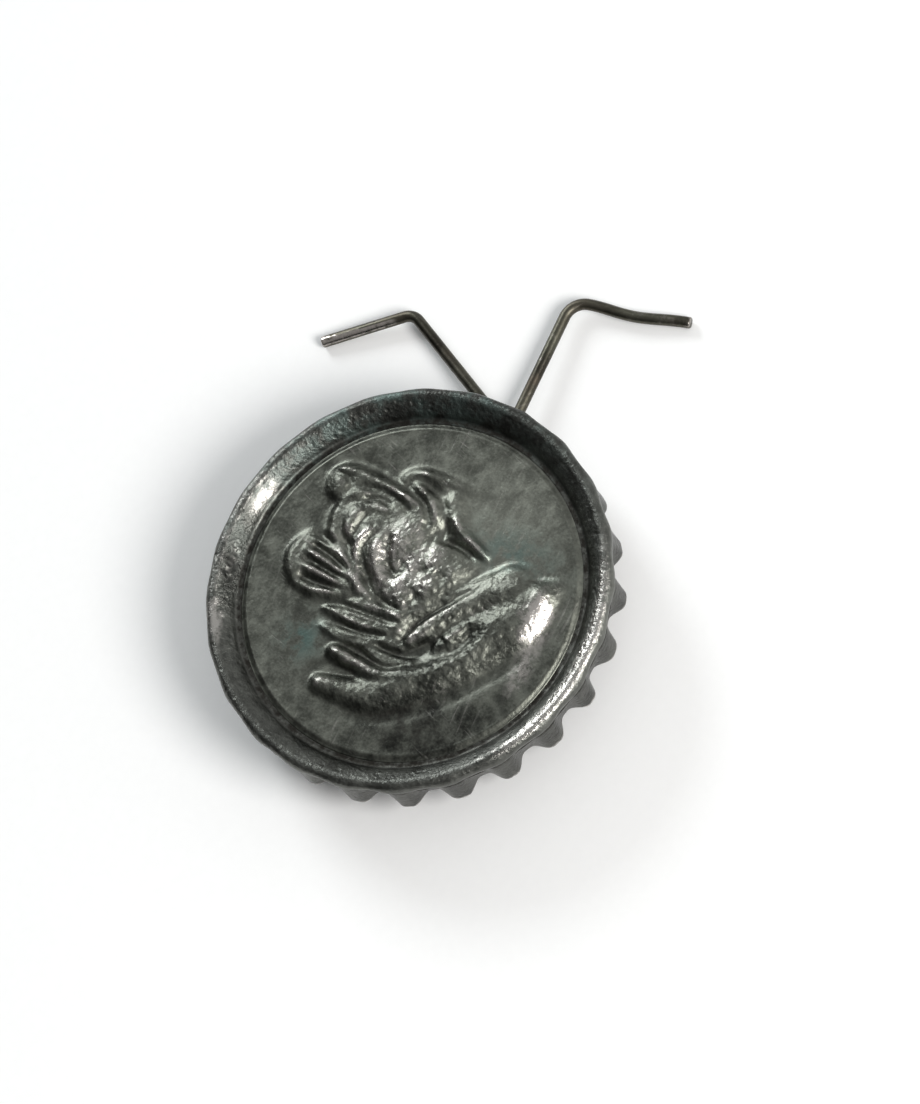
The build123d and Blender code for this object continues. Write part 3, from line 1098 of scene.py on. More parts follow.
    def mark(self, piece: bpy.types.Object, verts: np.ndarray, outer: int) -> None:
        """Store each place's wear with painted highlights, grime with a painted shadow, stains, tone
        with painted highlights and shade, and grain.

        Args:
            piece: the ring.
            verts: its places by row and column.
            outer: how many rows, the first ones, are on the outside.
        """
        degrees = np.degrees(np.arctan2(verts[..., 1], verts[..., 0]))
        r, z = radial(verts), verts[..., 2]
        front = self.front_share(verts, outer)
        over_neck = z > self.neck_z
        filed = self.filed.at(degrees, r)
        crest = bell(z, self.crest_z, 0.16)
        # Wear on the crest and slope, with painted highlights near -94 and 79 degrees.
        worn = crest * (0.12 + sum(mark.at(degrees, r) for mark in self.crest_wear_and_highlights))
        worn = (worn + 0.3 * filed + sum(mark.at(degrees, r) for mark in self.rim_wear_and_highlights)) * over_neck
        worn += 0.25 * (z < 2.6) * np.clip((r - 15.55) / 0.35, 0, 1)
        worn += 0.5 * (z < 0.2)
        valley = ~over_neck * (1 - np.clip((r - 14.8) / 0.9, 0, 1))
        # Painted shadow along the neck under the rim's edge, and darker flute valleys.
        deep = 0.8 * bell(z, 3.14, 0.16) + 0.3 * valley
        # Tone with painted shade near 10 degrees and painted highlights near -75 and 79 degrees; the
        # filed patch and the skirt are darker.
        light = 0.36 + self.shade.at(degrees, r) + over_neck * self.painted_front_highlight.at(degrees, r)
        light += self.painted_slope_highlight.at(degrees, r) - 0.36 * filed - 0.18 * ~over_neck
        struck = np.clip((z - 3.2) / 0.4, 0.35, 1) + 1.6 * filed - self.smooth.at(degrees, r)
        store(
            piece,
            worn=np.clip(worn, 0, 1) * front,
            deep=np.clip(deep, 0, 1) * front,
            stain=self.stain.at(degrees, r) * front,
            light=np.clip(light, 0, 1),
            grainy=front * np.where(over_neck, struck, 1.9),
        )


@dataclass
class Lug:
    """U of round wire that holds the pin, its legs standing on the back of the disc."""

    name: str
    x: float
    line_y: float
    half_gap: float
    wire: float
    drop: float
    top_z: float = 2.87
    rub_z: float = 1.6

    def make(self) -> bpy.types.Object:
        """Build the U.

        Formula: two straight legs joined by a half circle.

        Returns:
            The closed wire.
        """
        left, right = self.line_y - self.half_gap, self.line_y + self.half_gap
        bend = arc((self.line_y, -self.drop), self.half_gap, 180, 360, 40)
        places = np.vstack([[(left, self.top_z)], bend, [(right, self.top_z)]])
        path = np.column_stack([np.full(len(places), self.x), places])
        piece = Wire(self.name, path, self.wire, (1, 0, 0), seed=61).make()
        z = vertex_places(piece)[:, 2]
        worn = np.clip(-self.rub_z - z, 0, 1) * 0.8
        deep = np.clip((z - self.rub_z) / 0.8, 0, 1) * 0.7
        store(piece, worn=worn, deep=deep, stain=0.3, light=0.4, grainy=1.0)
        return piece


@dataclass
class Solder:
    """Two fillets of soft solder, one round each leg of a lug."""

    name: str
    x: float
    places_y: tuple[float, float]
    radius: float
    height: float
    wire: float
    back_z: float
    rows: int = 26
    columns: int = 72
    sag: float = 0.12

    def fillet(self, y: float, seed: int) -> np.ndarray:
        """One fillet round a leg.

        Formula: t goes from 0 at the disc to 1 at the thin end; the radius is the wire's plus
        the spread times (1 - t) to the power 1.7, wavy by slow noise; the height is t times the full
        height. A last row goes in under the wire's skin and a first one closes on the disc.

        Args:
            y: where the leg stands.
            seed: picks the waves.

        Returns:
            Places by row and column.
        """
        t = np.linspace(0, 1, self.rows)[:, None]
        angle = np.linspace(0, TURN, self.columns, endpoint=False)[None]
        ring = np.stack([np.cos(angle) + 0 * t, np.sin(angle) + 0 * t, 0 * angle + 2 * t], -1)
        wobble = 1 - self.sag * (0.5 + 0.5 * layered(ring, 0.9, seed, 3))
        spread = (self.radius - self.wire) * (1 - t) ** 1.7
        radius = (self.wire + 0.03 + (spread - 0.03) * wobble).clip(self.wire + 0.012, self.radius)
        z = self.back_z + 0.02 - self.height * t * (0.86 + 0.14 * wobble)
        radius = np.vstack([0 * angle + 0.2, radius, 0 * angle + 0.3])
        z = np.vstack([0 * angle + self.back_z + 0.02, z, z[-1:] + 0.05])
        return np.stack([self.x + radius * np.cos(angle), y + radius * np.sin(angle), z], -1)

    def make(self) -> bpy.types.Object:
        """Build both fillets as one closed mesh each, in one piece.

        Returns:
            The piece.
        """
        verts, faces = [], []
        for index, y in enumerate(self.places_y):
            one = self.fillet(y, 71 + 10 * index)
            first = index * one.shape[0] * self.columns
            faces += grid_faces(one.shape[0], self.columns, False, True, first).tolist()
            faces.append(list(range(first, first + self.columns))[::-1])
            last = first + (one.shape[0] - 1) * self.columns
            faces.append(list(range(last, last + self.columns)))
            verts.append(one.reshape(-1, 3))
        places = np.vstack(verts)
        piece = add_mesh(self.name, places, [f[::-1] for f in faces])
        cloud = np.clip(0.5 + layered(places, 0.8, 91, 2), 0, 1)
        deep = np.clip((places[:, 2] - self.back_z + 0.08) / 0.1, 0, 1) * 0.6
        store(piece, worn=0.5 * cloud, deep=deep, stain=0.2, light=cloud, grainy=1.0)
        return piece


@dataclass(frozen=True)
class LegShape:
    """A leg's way past its hinge: angles in degrees, lengths, corner radius and painted highlight
    share.
    """

    side: int
    angle: float
    length: float
    turn: float
    tip: float
    corner: float
    highlight_share: float


@dataclass
class SplitPin:
    """Split pin of two lengths of one wire: eye, shank, and two spread legs with bent tips."""

    wire: float
    line_y: float
    z: float
    leg_gap: float
    hinge_x: float
    end_z: float
    eye_start: float = -12.4
    flare_radius: float = 0.9
    flare: float = 40.0
    bend: float = 1.05
    straight_below: float = 10.0
    upper: LegShape = LegShape(1, 62.2, 12.3, 64.3, 7.55, 1.2, 0.85)
    lower: LegShape = LegShape(-1, 1.6, 11.0, -80.7, 9.55, 1.6, 0.3)
    sway_length: float = 8.2
    sway_size: float = 0.3
    # Length of the painted highlight strip at each tip.
    highlight_length: float = 6.6
    nick: tuple[float, float, float] = (21.35, 0.75, -1.2)
    nick_size: float = 0.26

    def eye(self) -> np.ndarray:
        """The eye's path from below the shank line, round the loop, to above it.

        Formula: the wires bend out by the flare angle on small arcs and a larger arc, tangent
        to both, closes the loop.

        Returns:
            Array of places.
        """
        y, turn = self.leg_gap, math.radians(self.flare)
        loop = (y + self.flare_radius * (1 - math.cos(turn))) / math.cos(turn)
        middle = -(self.flare_radius + loop) * math.sin(turn)
        top = arc((0, y + self.flare_radius), self.flare_radius, -90, -90 - self.flare, 14)
        ring = arc((middle, 0), loop, 90 - self.flare, 270 + self.flare, 72)
        low = arc((0, -y - self.flare_radius), self.flare_radius, 90 + self.flare, 90, 14)
        path = np.vstack([top, ring[1:-1], low])[::-1] + np.array([self.eye_start, self.line_y])
        return np.column_stack([path, np.full(len(path), self.z)])

    def leg(self, shape: LegShape) -> np.ndarray:
        """Path from the hinge's near side along a spread leg to its bent tip.

        Args:
            shape: the leg.

        Returns:
            Array of places.
        """
        hinge = np.array([self.hinge_x, self.line_y + shape.side * self.leg_gap, self.z])
        drop = (self.end_z - self.z) / (shape.length + shape.tip)
        a, b = math.radians(shape.angle), math.radians(shape.angle + shape.turn)
        knee = hinge + np.array([math.cos(a), math.sin(a), drop]) * shape.length
        end = knee + np.array([math.cos(b), math.sin(b), drop]) * shape.tip
        near = np.array([self.hinge_x - 3, hinge[1], self.z])
        if abs(shape.angle) < self.straight_below:
            return rounded_path([near, knee, end], [shape.corner], 20)
        return rounded_path([near, hinge, knee, end], [self.bend, shape.corner], 20)

    def sway(self, path: np.ndarray) -> np.ndarray:
        """Bow the last stretch of a wire sideways.

        Formula: size times the square of a half sine wave, a little more near its start.

        Args:
            path: places in order.

        Returns:
            The bowed path.
        """
        even = even_steps(path, 0.2)
        run = np.r_[0, np.cumsum(np.linalg.norm(np.diff(even, axis=0), axis=1))]
        t = np.clip((run - run[-1] + self.sway_length) / self.sway_length, 0, 1)
        even[:, 0] -= self.sway_size * np.sin(t * math.pi) ** 2 * (1.3 - 0.6 * t)
        return even

    def make(self) -> list[bpy.types.Object]:
        """Build both wires; the eye goes with the upper one.

        Returns:
            The upper and the lower wire.
        """
        eye = self.eye()
        upper = np.vstack([eye, self.leg(self.upper)])
        lower = np.vstack([eye[0], self.sway(self.leg(self.lower))])
        return [
            self.dress("pin_wire_upper", upper, self.upper.highlight_share),
            self.dress("pin_wire_lower", lower, self.lower.highlight_share),
        ]

    def painted_highlight_strip(self, places: np.ndarray, path: np.ndarray) -> np.ndarray:
        """Painted highlight strip along the top of a leg's straight tip.

        Args:
            places: the wire's vertices.
            path: its path.

        Returns:
            One value for each vertex, 1 where the highlight is painted.
        """
        end = path[-1]
        tip = (end - path[-12]) / np.linalg.norm(end - path[-12])
        along = (places - end) @ tip
        off = places - end - along[:, None] * tip
        is_near = np.linalg.norm(off, axis=1) < self.wire
        on_tip = np.clip((along + self.highlight_length) / 1.6, 0, 1) * is_near
        return on_tip * np.clip((2 * off[:, 2] / self.wire - 0.5) / 0.3, 0, 1)

    def dress(self, name: str, path: np.ndarray, highlight_share: float) -> bpy.types.Object:
        """Build one wire and store its wear and a painted highlight: bends and tips are scuffed
        brighter, and a painted highlight runs along the top of the tip.

        Args:
            name: piece name.
            path: the wire's places.
            highlight_share: how strong the painted highlight strip along its tip is.

        Returns:
            The wire.
        """
        piece = Wire(name, path, self.wire, (0, 0, 1), seed=83).make()
        places = vertex_places(piece)
        near_end = np.clip(1.0 - np.linalg.norm(places - path[-1], axis=1) / 0.7, 0, 1)
        rub = np.clip(layered(places, 2.2, 87, 3) - 0.15, 0, 1) * 1.2
        nick = bell(np.linalg.norm(places - np.array(self.nick), axis=1), 0, self.nick_size)
        # A painted highlight strip along the top of the tip.
        strip = self.painted_highlight_strip(places, path) * highlight_share
        store(
            piece,
            worn=np.clip(0.6 * near_end + 0.45 * rub + 0.45 * nick + strip, 0, 1),
            deep=np.clip(layered(places, 1.4, 89, 2) - 0.3, 0, 1),
            stain=np.clip(0.4 + layered(places, 3.0, 90, 2), 0, 1),
            light=np.clip(0.5 + layered(places, 4.0, 93, 2), 0, 1),
            grainy=1.0,
        )
        return piece


# ---- finishes ----


class Wiring:
    """Adds and joins shader nodes in one node tree."""

    def __init__(self, tree: bpy.types.NodeTree) -> None:
        """Keep the tree."""
        self.tree = tree

    def node(self, kind: str, inputs: dict, **settings: object) -> bpy.types.Node:
        """Add a node.

        Args:
            kind: Blender's name of the node type.
            inputs: values or sockets by input name or number.
            settings: the node's own settings.

        Returns:
            The node.
        """
        made = self.tree.nodes.new(kind)
        for name, value in settings.items():
            setattr(made, name, value)
        self.feed(made, inputs)
        return made

    def feed(self, made: bpy.types.Node, inputs: dict) -> None:
        """Link or set a node's inputs.

        Args:
            made: the node.
            inputs: values or sockets by input name or number.
        """
        for key, value in inputs.items():
            if isinstance(value, bpy.types.NodeSocket):
                self.tree.links.new(value, made.inputs[key])
            else:
                made.inputs[key].default_value = value

    def group(self, shared: bpy.types.NodeTree, inputs: dict) -> bpy.types.Node:
        """Place a shared group.

        Args:
            shared: the group's tree.
            inputs: values or sockets by input name.

        Returns:
            The group's node.
        """
        made = self.tree.nodes.new("ShaderNodeGroup")
        made.node_tree = shared
        self.feed(made, inputs)
        return made

    def mix(self, share: object, low: object, high: object) -> bpy.types.NodeSocket:
        """Colour between two colours."""
        return self.node("ShaderNodeMix", {0: share, 6: low, 7: high}, data_type="RGBA").outputs[2]

    def math(self, operation: str, a: object, b: object = 0.0) -> bpy.types.NodeSocket:
        """One sum on numbers, its result kept from 0 to 1 for ADD and SUBTRACT.

        Args:
            operation: Blender's name of the sum.
            a: first number or socket.
            b: second number or socket.

        Returns:
            The result's socket.
        """
        keep = operation in ("ADD", "SUBTRACT")
        made = self.node("ShaderNodeMath", {0: a, 1: b}, operation=operation, use_clamp=keep)
        return made.outputs[0]

    def times(self, a: object, b: object) -> bpy.types.NodeSocket:
        """Product of two numbers."""
        return self.math("MULTIPLY", a, b)

    def spread(
        self, value: object, low: float, high: float, to_low: float = 0, to_high: float = 1
    ) -> bpy.types.NodeSocket:
        """Stretch a number from one range to another by a smooth step, ends kept.

        Args:
            value: the number's socket.
            low: start of its range.
            high: end of its range.
            to_low: start of the new range.
            to_high: end of the new range.

        Returns:
            The result's socket.
        """
        ends = {"From Min": low, "From Max": high, "To Min": to_low, "To Max": to_high}
        names = {"Value": value, **ends}
        return self.node("ShaderNodeMapRange", names, interpolation_type="SMOOTHSTEP").outputs[0]

    def speckle(
        self, where: object, scale: object, detail: float = 3, roughness: float = 0.55
    ) -> bpy.types.NodeSocket:
        """Noise from 0 to 1."""
        names = {"Vector": where, "Scale": scale, "Detail": detail, "Roughness": roughness}
        return self.node("ShaderNodeTexNoise", names).outputs[0]

    def place(self) -> bpy.types.NodeSocket:
        """Object coordinates."""
        return self.node("ShaderNodeTexCoord", {}).outputs["Object"]

    def attribute(self, name: str) -> bpy.types.NodeSocket:
        """One of the piece's stored values."""
        return self.node("ShaderNodeAttribute", {}, attribute_name=name).outputs["Fac"]


def open_group(
    name: str, inputs: dict[str, str], outputs: dict[str, str]
) -> tuple[Wiring, dict, bpy.types.Node]:
    """Start a shader node group.

    Args:
        name: the group's name.
        inputs: socket type of each named input, Float, Color or Vector.
        outputs: the same for outputs.

    Returns:
        The group's wiring, its input sockets by name, and its output node.
    """
    tree = bpy.data.node_groups.new(name, "ShaderNodeTree")
    for way, sockets in (("INPUT", inputs), ("OUTPUT", outputs)):
        for label, kind in sockets.items():
            tree.interface.new_socket(label, in_out=way, socket_type="NodeSocket" + kind)
    wiring = Wiring(tree)
    given = tree.nodes.new("NodeGroupInput")
    return wiring, {label: given.outputs[label] for label in inputs}, tree.nodes.new("NodeGroupOutput")


def patina_group() -> bpy.types.NodeTree:
    """Blotchy oxide: slow clouds between a dark and a light colour, and a green-blue stain; the
    Lightness input also carries painted reflection and shade.

    Returns:
        The group's tree.
    """
    names = {"Vector": "Vector", "Scale": "Float", "Dark": "Color", "Light": "Color"}
    names.update({"Bloom": "Color", "Lightness": "Float", "Stain": "Float"})
    w, given, out = open_group("patina", names, {"Color": "Color", "Cloud": "Float"})
    slow = w.speckle(given["Vector"], given["Scale"], 5, 0.62)
    quick = w.speckle(given["Vector"], w.times(given["Scale"], 7.0), 3, 0.6)
    cloud = w.spread(w.math("ADD", w.times(slow, 0.72), w.times(quick, 0.28)), 0.32, 0.68)
    lit = w.math("ADD", w.times(cloud, 0.38), w.times(given["Lightness"], 0.68))
    base = w.mix(lit, given["Dark"], given["Light"])
    patch = w.times(w.spread(slow, 0.42, 0.6), given["Stain"])
    w.feed(out, {"Color": w.mix(patch, base, given["Bloom"]), "Cloud": cloud})
    return w.tree


def wear_group() -> bpy.types.NodeTree:
    """Scuffed high places with painted highlights, and grime with painted shade in low ones, both
    broken up by noise.

    Returns:
        The group's tree.
    """
    names = {"Vector": "Vector", "Scale": "Float", "Wear and Highlight": "Float", "Grime and Shade Amount": "Float"}
    w, given, out = open_group("wear", names, {"Scuff and Highlight": "Float", "Grime and Shade Share": "Float"})
    broken = w.speckle(given["Vector"], given["Scale"], 4, 0.7)
    scuff_and_highlight = w.times(given["Wear and Highlight"], w.spread(broken, 0.28, 0.62, 0.35, 1.35))
    grime_shade = w.times(given["Grime and Shade Amount"], w.spread(broken, 0.3, 0.7, 1.2, 0.5))
    w.feed(out, {"Scuff and Highlight": w.spread(scuff_and_highlight, 0.22, 0.95), "Grime and Shade Share": w.spread(grime_shade, 0.1, 0.8)})
    return w.tree


def grain_group() -> bpy.types.NodeTree:
    """Height of a fine cast grain with a few pits.

    Returns:
        The group's tree.
    """
    names = {"Vector": "Vector", "Scale": "Float", "Pits": "Float"}
    w, given, out = open_group("grain", names, {"Height": "Float"})
    fine = w.speckle(given["Vector"], given["Scale"], 4, 0.6)
    cells = {"Vector": given["Vector"], "Scale": w.times(given["Scale"], 0.35)}
    holes = w.node("ShaderNodeTexVoronoi", cells)
    pits = w.spread(holes.outputs["Distance"], 0.0, 0.34, 1, 0)
    w.feed(out, {"Height": w.math("SUBTRACT", fine, w.times(pits, given["Pits"]))})
    return w.tree


def scratch_group() -> bpy.types.NodeTree:
    """Fine short scratches in patches: noise drawn out along one direction.

    Returns:
        The group's tree.
    """
    names = {"Vector": "Vector", "Turn": "Vector", "Scale": "Float"}
    w, given, out = open_group("scratches", names, {"Mask": "Float"})
    turning = {"Vector": given["Vector"], "Rotation": given["Turn"]}
    turned = w.node("ShaderNodeVectorRotate", turning, rotation_type="EULER_XYZ").outputs[0]
    stretch = {0: turned, 1: (0.09, 1.0, 1.0)}
    drawn = w.node("ShaderNodeVectorMath", stretch, operation="MULTIPLY").outputs[0]
    lines = w.speckle(drawn, given["Scale"], 2, 0.5)
    patches = w.spread(w.speckle(given["Vector"], w.times(given["Scale"], 0.07), 2), 0.5, 0.66)
    w.feed(out, {"Mask": w.times(w.spread(lines, 0.58, 0.74), patches)})
    return w.tree


Colour = tuple[float, float, float, float]


@dataclass(frozen=True)
class MetalFinish:
    """An oxidised metal surface with clouds, stains, grain, scratches, scuffed edges with painted
    highlights, and grime with painted shade.
    """

    name: str
    dark: Colour
    light: Colour
    bloom: Colour
    scuff_and_highlight: Colour
    grime_shade: Colour
    roughness: tuple[float, float]
    rubbed_roughness: float
    patch: float
    grain: float
    bump: float
    pits: float = 0.3
    scratch: float = 0.3
    scratch_turn: float = 0.6
    metallic: float = 1.0

    def make(self, groups: dict[str, bpy.types.NodeTree]) -> bpy.types.Material:
        """Build the material.

        Args:
            groups: the shared node groups by name.

        Returns:
            The material.
        """
        material = bpy.data.materials.new(self.name)
        material.use_nodes = True
        material.node_tree.nodes.clear()
        w = Wiring(material.node_tree)
        where = w.place()
        oxide = w.group(groups["patina"], {
            "Vector": where, "Scale": self.patch, "Dark": self.dark, "Light": self.light,
            "Bloom": self.bloom, "Lightness": w.attribute("light"), "Stain": w.attribute("stain"),
        })
        wear = w.group(groups["wear"], {
            "Vector": where, "Scale": self.grain * 0.4,
            "Wear and Highlight": w.attribute("worn"), "Grime and Shade Amount": w.attribute("deep"),
        })
        grain = w.group(groups["grain"], {"Vector": where, "Scale": self.grain, "Pits": self.pits})
        lines, crossing = (
            w.group(groups["scratches"], {
                "Vector": where, "Scale": self.grain * scale, "Turn": (0, 0, self.scratch_turn + turn),
            }).outputs["Mask"]
            for scale, turn in ((1.6, 0.0), (0.9, 1.2))
        )
        cuts = w.times(w.math("ADD", lines, w.times(crossing, 0.6)), self.scratch)
        # Scuffed wear with painted highlights, then grime with painted shade, go into the colour.
        colour = w.mix(wear.outputs["Scuff and Highlight"], oxide.outputs["Color"], self.scuff_and_highlight)
        colour = w.mix(wear.outputs["Grime and Shade Share"], colour, self.grime_shade)
        colour = w.mix(w.times(cuts, 0.6), colour, self.scuff_and_highlight)
        rough = w.spread(oxide.outputs["Cloud"], 0, 1, self.roughness[0], self.roughness[1])
        span = self.roughness[1] - self.rubbed_roughness
        rough = w.math("SUBTRACT", rough, w.times(wear.outputs["Scuff and Highlight"], span))
        rough = w.math("ADD", rough, w.times(wear.outputs["Grime and Shade Share"], 0.25))
        rough_skin = w.times(grain.outputs["Height"], w.attribute("grainy"))
        height = w.math("SUBTRACT", rough_skin, w.times(cuts, 0.25))
        raised = {"Height": height, "Strength": 1.0, "Distance": self.bump * MM}
        bump = w.node("ShaderNodeBump", raised)
        shader = w.node("ShaderNodeBsdfPrincipled", {
            "Base Color": colour, "Roughness": rough,
            "Metallic": self.metallic, "Normal": bump.outputs[0],
        })
        w.node("ShaderNodeOutputMaterial", {"Surface": shader.outputs[0]})
        return material


# The face finish shows the painted highlights, reflection and shade stored on the disc.
SHELL_FACE = MetalFinish(
    "struck_face_patina_and_painted_light",
    dark=(0.02, 0.021, 0.019, 1),
    light=(0.3, 0.31, 0.265, 1),
    bloom=(0.09, 0.14, 0.128, 1),
    scuff_and_highlight=(0.52, 0.49, 0.46, 1),
    grime_shade=(0.03, 0.028, 0.025, 1),
    roughness=(0.3, 0.42),
    rubbed_roughness=0.26,
    patch=620,
    grain=3300,
    bump=0.06,
    scratch=0.5,
    scratch_turn=-1.2,
)
# The rim finish shows the painted highlights and shade stored on the ring.
SHELL_RIM = MetalFinish(
    "rim_patina_and_painted_light",
    dark=(0.03, 0.03, 0.028, 1),
    light=(0.21, 0.215, 0.195, 1),
    bloom=(0.1, 0.15, 0.14, 1),
    scuff_and_highlight=(0.5, 0.48, 0.45, 1),
    grime_shade=(0.025, 0.023, 0.02, 1),
    roughness=(0.3, 0.42),
    rubbed_roughness=0.26,
    patch=480,
    grain=3600,
    bump=0.075,
    pits=0.5,
    scratch=0.15,
)
LUG_DULL = MetalFinish(
    "lug_wire_dull",
    dark=(0.07, 0.062, 0.05, 1),
    light=(0.17, 0.15, 0.12, 1),
    bloom=(0.1, 0.12, 0.1, 1),
    scuff_and_highlight=(0.42, 0.37, 0.28, 1),
    grime_shade=(0.04, 0.035, 0.03, 1),
    roughness=(0.36, 0.5),
    rubbed_roughness=0.3,
    patch=400,
    grain=3600,
    bump=0.025,
)
SOFT_SOLDER = MetalFinish(
    "soft_solder",
    dark=(0.22, 0.22, 0.22, 1),
    light=(0.42, 0.42, 0.41, 1),
    bloom=(0.26, 0.28, 0.28, 1),
    scuff_and_highlight=(0.6, 0.6, 0.59, 1),
    grime_shade=(0.08, 0.075, 0.07, 1),
    roughness=(0.38, 0.56),
    rubbed_roughness=0.32,
    patch=700,
    grain=3200,
    bump=0.03,
    pits=0.6,
    scratch=0.1,
)
# The pin finish shows the painted highlight strip stored on the wires.
PIN_OXIDE = MetalFinish(
    "pin_wire_oxide_and_painted_highlight",
    dark=(0.035, 0.03, 0.025, 1),
    light=(0.13, 0.13, 0.1, 1),
    bloom=(0.08, 0.066, 0.052, 1),
    scuff_and_highlight=(0.46, 0.42, 0.39, 1),
    grime_shade=(0.03, 0.025, 0.02, 1),
    roughness=(0.3, 0.44),
    rubbed_roughness=0.25,
    patch=420,
    grain=3600,
    bump=0.02,
    scratch=0.3,
)


def dress(
    piece: bpy.types.Object, material: bpy.types.Material, nodes: tuple[str, ...]
) -> None:
    """Give a piece its material, hide the CAD nodes that it stands for and log them.

    Args:
        piece: the piece.
        material: its material.
        nodes: names of the CAD nodes that it stands for.
    """
    piece.data.materials.append(material)
    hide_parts(*nodes)
    LOG.info("%s: %d faces, stands for %s", piece.name, len(piece.data.polygons), ", ".join(nodes))


@dataclass(frozen=True)
class Lamp:
    """A round soft lamp aimed at the badge: direction, distance, width, power and colour."""

    name: str
    way: tuple[float, float, float]
    distance: float
    size: float
    power: float
    colour: tuple[float, float, float]


@dataclass
class Studio:
    """Plain floor, soft light and the camera."""

    floor_z: float
    key: Lamp = Lamp("key", (-0.02, -0.76, 0.65), 0.45, 0.2, 1.68, (1.0, 0.985, 0.965))
    fill: Lamp = Lamp("fill", (0.44, 0.76, 0.48), 0.6, 0.26, 1.75, (0.94, 0.985, 1.0))
    sky: tuple[float, float] = (0.07, 0.56)
    bright_side: tuple[float, float, float] = (0.62, -0.62, 0.48)
    floor_half: float = 2.5
    azimuth: float = -25.0
    elevation: float = 64.3
    roll: float = -41.5
    distance: float = 800.0
    view_height: float = 82.95
    aim_z: float = 3.4
    offset: tuple[float, float] = (3.68, 2.98)
    sensor: float = 36.0
    clip: tuple[float, float] = (0.05, 10.0)

    def make_floor(self) -> None:
        """A broad flat sheet under the badge, with a faint paper tooth."""
        h = self.floor_half / MM
        corners = ((-h, -h), (h, -h), (h, h), (-h, h))
        verts = np.array([(x, y, self.floor_z) for x, y in corners])
        floor = add_mesh("floor", verts, [[0, 1, 2, 3]])
        material = bpy.data.materials.new("white_board")
        material.use_nodes = True
        shader = material.node_tree.nodes["Principled BSDF"]
        w = Wiring(material.node_tree)
        tooth = w.speckle(w.place(), 1500, 3)
        tone = w.mix(tooth, (0.9, 0.9, 0.9, 1), (0.93, 0.93, 0.93, 1))
        w.tree.links.new(tone, shader.inputs["Base Color"])
        shader.inputs["Roughness"].default_value = 0.9
        shader.inputs["Specular IOR Level"].default_value = 0.1
        floor.data.materials.append(material)

    def make_light(self) -> None:
        """A soft key, a weaker broad fill from the far side, and a pale sky brighter on one side."""
        for lamp in (self.key, self.fill):
            light = bpy.data.lights.new(lamp.name, "AREA")
            light.shape = "DISK"
            light.size, light.energy, light.color = lamp.size, lamp.power, lamp.colour
            holder = bpy.data.objects.new(lamp.name, light)
            way = Vector(lamp.way).normalized()
            holder.location = way * lamp.distance
            holder.rotation_euler = way.to_track_quat("Z", "Y").to_euler()
            bpy.context.scene.collection.objects.link(holder)
        world = bpy.data.worlds.new("pale_room")
        world.use_nodes = True
        background = world.node_tree.nodes["Background"]
        background.inputs["Color"].default_value = (0.985, 1.0, 1.0, 1)
        w = Wiring(world.node_tree)
        around = w.node("ShaderNodeTexCoord", {}).outputs["Generated"]
        pair = {0: around, 1: self.bright_side}
        toward = w.node("ShaderNodeVectorMath", pair, operation="DOT_PRODUCT")
        strength = w.spread(toward.outputs["Value"], -0.55, 0.6, self.sky[0], self.sky[1])
        w.tree.links.new(strength, background.inputs["Strength"])
        bpy.context.scene.world = world
        bpy.context.scene.view_settings.view_transform = "Standard"

    def make_camera(self) -> None:
        """Camera that looks down on the badge, turned about its own axis.

        Formula: the back vector has the given azimuth and elevation; right and up are the level
        ones turned by the roll; the lens shows view_height at the aimed distance.
        """
        a, e, roll = (math.radians(v) for v in (self.azimuth, self.elevation, self.roll))
        level = Vector((math.cos(a), math.sin(a), 0))
        back = Vector((math.sin(a) * math.cos(e), -math.cos(a) * math.cos(e), math.sin(e)))
        upright = back.cross(level)
        right = math.cos(roll) * level + math.sin(roll) * upright
        up = -math.sin(roll) * level + math.cos(roll) * upright
        aim = Vector((0, 0, self.aim_z)) + right * self.offset[0] + up * self.offset[1]
        camera = bpy.data.objects.new("camera", bpy.data.cameras.new("camera"))
        turn = Matrix((right, up, back)).transposed().to_4x4()
        camera.matrix_world = Matrix.Translation((aim + back * self.distance) * MM) @ turn
        camera.data.sensor_width = self.sensor
        camera.data.lens = self.sensor * self.distance / self.view_height
        camera.data.clip_start, camera.data.clip_end = self.clip
        bpy.context.scene.collection.objects.link(camera)
        bpy.context.scene.camera = camera


def build_shell(paints: dict[str, bpy.types.Material]) -> None:
    """Build the disc and the ring round it.

    Args:
        paints: the materials by name.
    """
    disc = FaceDisc().make()
    dress(disc, paints[SHELL_FACE.name], ("face_shell",))
    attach(disc, "badge")
    ring = RimAndSkirt().make()
    dress(ring, paints[SHELL_RIM.name], ("face_shell",))
    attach(ring, "badge")


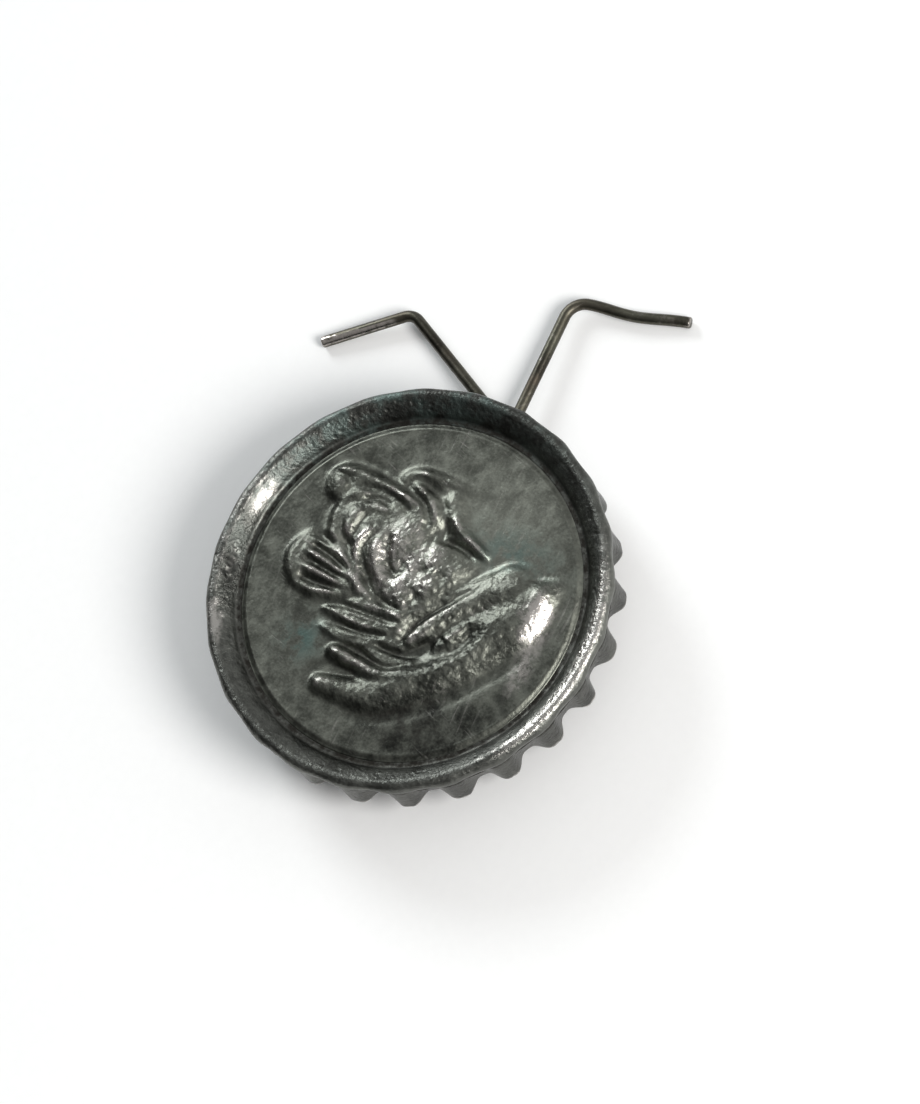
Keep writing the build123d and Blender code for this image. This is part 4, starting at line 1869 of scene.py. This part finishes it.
def build_lug(side: str, line_y: float, paints: dict[str, bpy.types.Material]) -> None:
    """Build one lug with its solder, to the sizes of their CAD nodes.

    Args:
        side: west or east.
        line_y: the pin's line.
        paints: the materials by name.
    """
    low, high = cad_box("lug_" + side)
    x = (low[0] + high[0]) / 2
    wire = (high[0] - low[0]) / 2
    half_gap = (high[1] - low[1]) / 2 - wire
    drop = -(low[2] + wire + half_gap)
    lug = Lug("lug_" + side + "_wire", x, (low[1] + high[1]) / 2, half_gap, wire, drop).make()
    dress(lug, paints[LUG_DULL.name], ("lug_" + side,))
    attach(lug, "badge")
    low, high = cad_box("solder_" + side)
    legs = (line_y - half_gap, line_y + half_gap)
    radius, height = (high[0] - low[0]) / 2, high[2] - low[2]
    name = "solder_" + side + "_fillets"
    fillet = Solder(name, x, legs, radius, height, wire, high[2]).make()
    dress(fillet, paints[SOFT_SOLDER.name], ("solder_" + side,))
    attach(fillet, "badge")


def build_pin(pin: SplitPin, hinges: tuple[np.ndarray, np.ndarray], paint: bpy.types.Material) -> None:
    """Build the pin's two wires and bake their places into their meshes.

    Args:
        pin: the pin.
        hinges: the upper and the lower leg's hinge; not used.
        paint: the wires' material.
    """
    legs = (("upper_leg", "pin_leg_upper"), ("lower_leg", "pin_leg_lower"))
    for piece, (body, node), hinge in zip(pin.make(), legs, hinges):
        dress(piece, paint, (node, "split_pin"))
        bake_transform(piece)


def main() -> None:
    """Build every piece in order, dress it and light the scene."""
    logging.basicConfig(level=logging.INFO, format="%(message)s")
    groups = {
        "patina": patina_group(), "wear": wear_group(),
        "grain": grain_group(), "scratches": scratch_group(),
    }
    finishes = (SHELL_FACE, SHELL_RIM, LUG_DULL, SOFT_SOLDER, PIN_OXIDE)
    paints = {finish.name: finish.make(groups) for finish in finishes}
    upper, lower = joint_place("upper_leg_bend"), joint_place("lower_leg_bend")
    line_y = (upper[1] + lower[1]) / 2
    pin_low, pin_high = cad_box("split_pin")
    wire = (pin_high[2] - pin_low[2]) / 2
    floor_z = cad_box("lug_west")[0][2]
    end_z = cad_box("pin_leg_upper")[0][2] + wire

    build_shell(paints)
    for side in ("west", "east"):
        build_lug(side, line_y, paints)
    pin = SplitPin(wire, line_y, upper[2], (upper[1] - lower[1]) / 2, upper[0], end_z)
    build_pin(pin, (upper, lower), paints[PIN_OXIDE.name])

    studio = Studio(floor_z)
    studio.make_floor()
    studio.make_light()
    studio.make_camera()


if __name__ == "__main__":
    main()
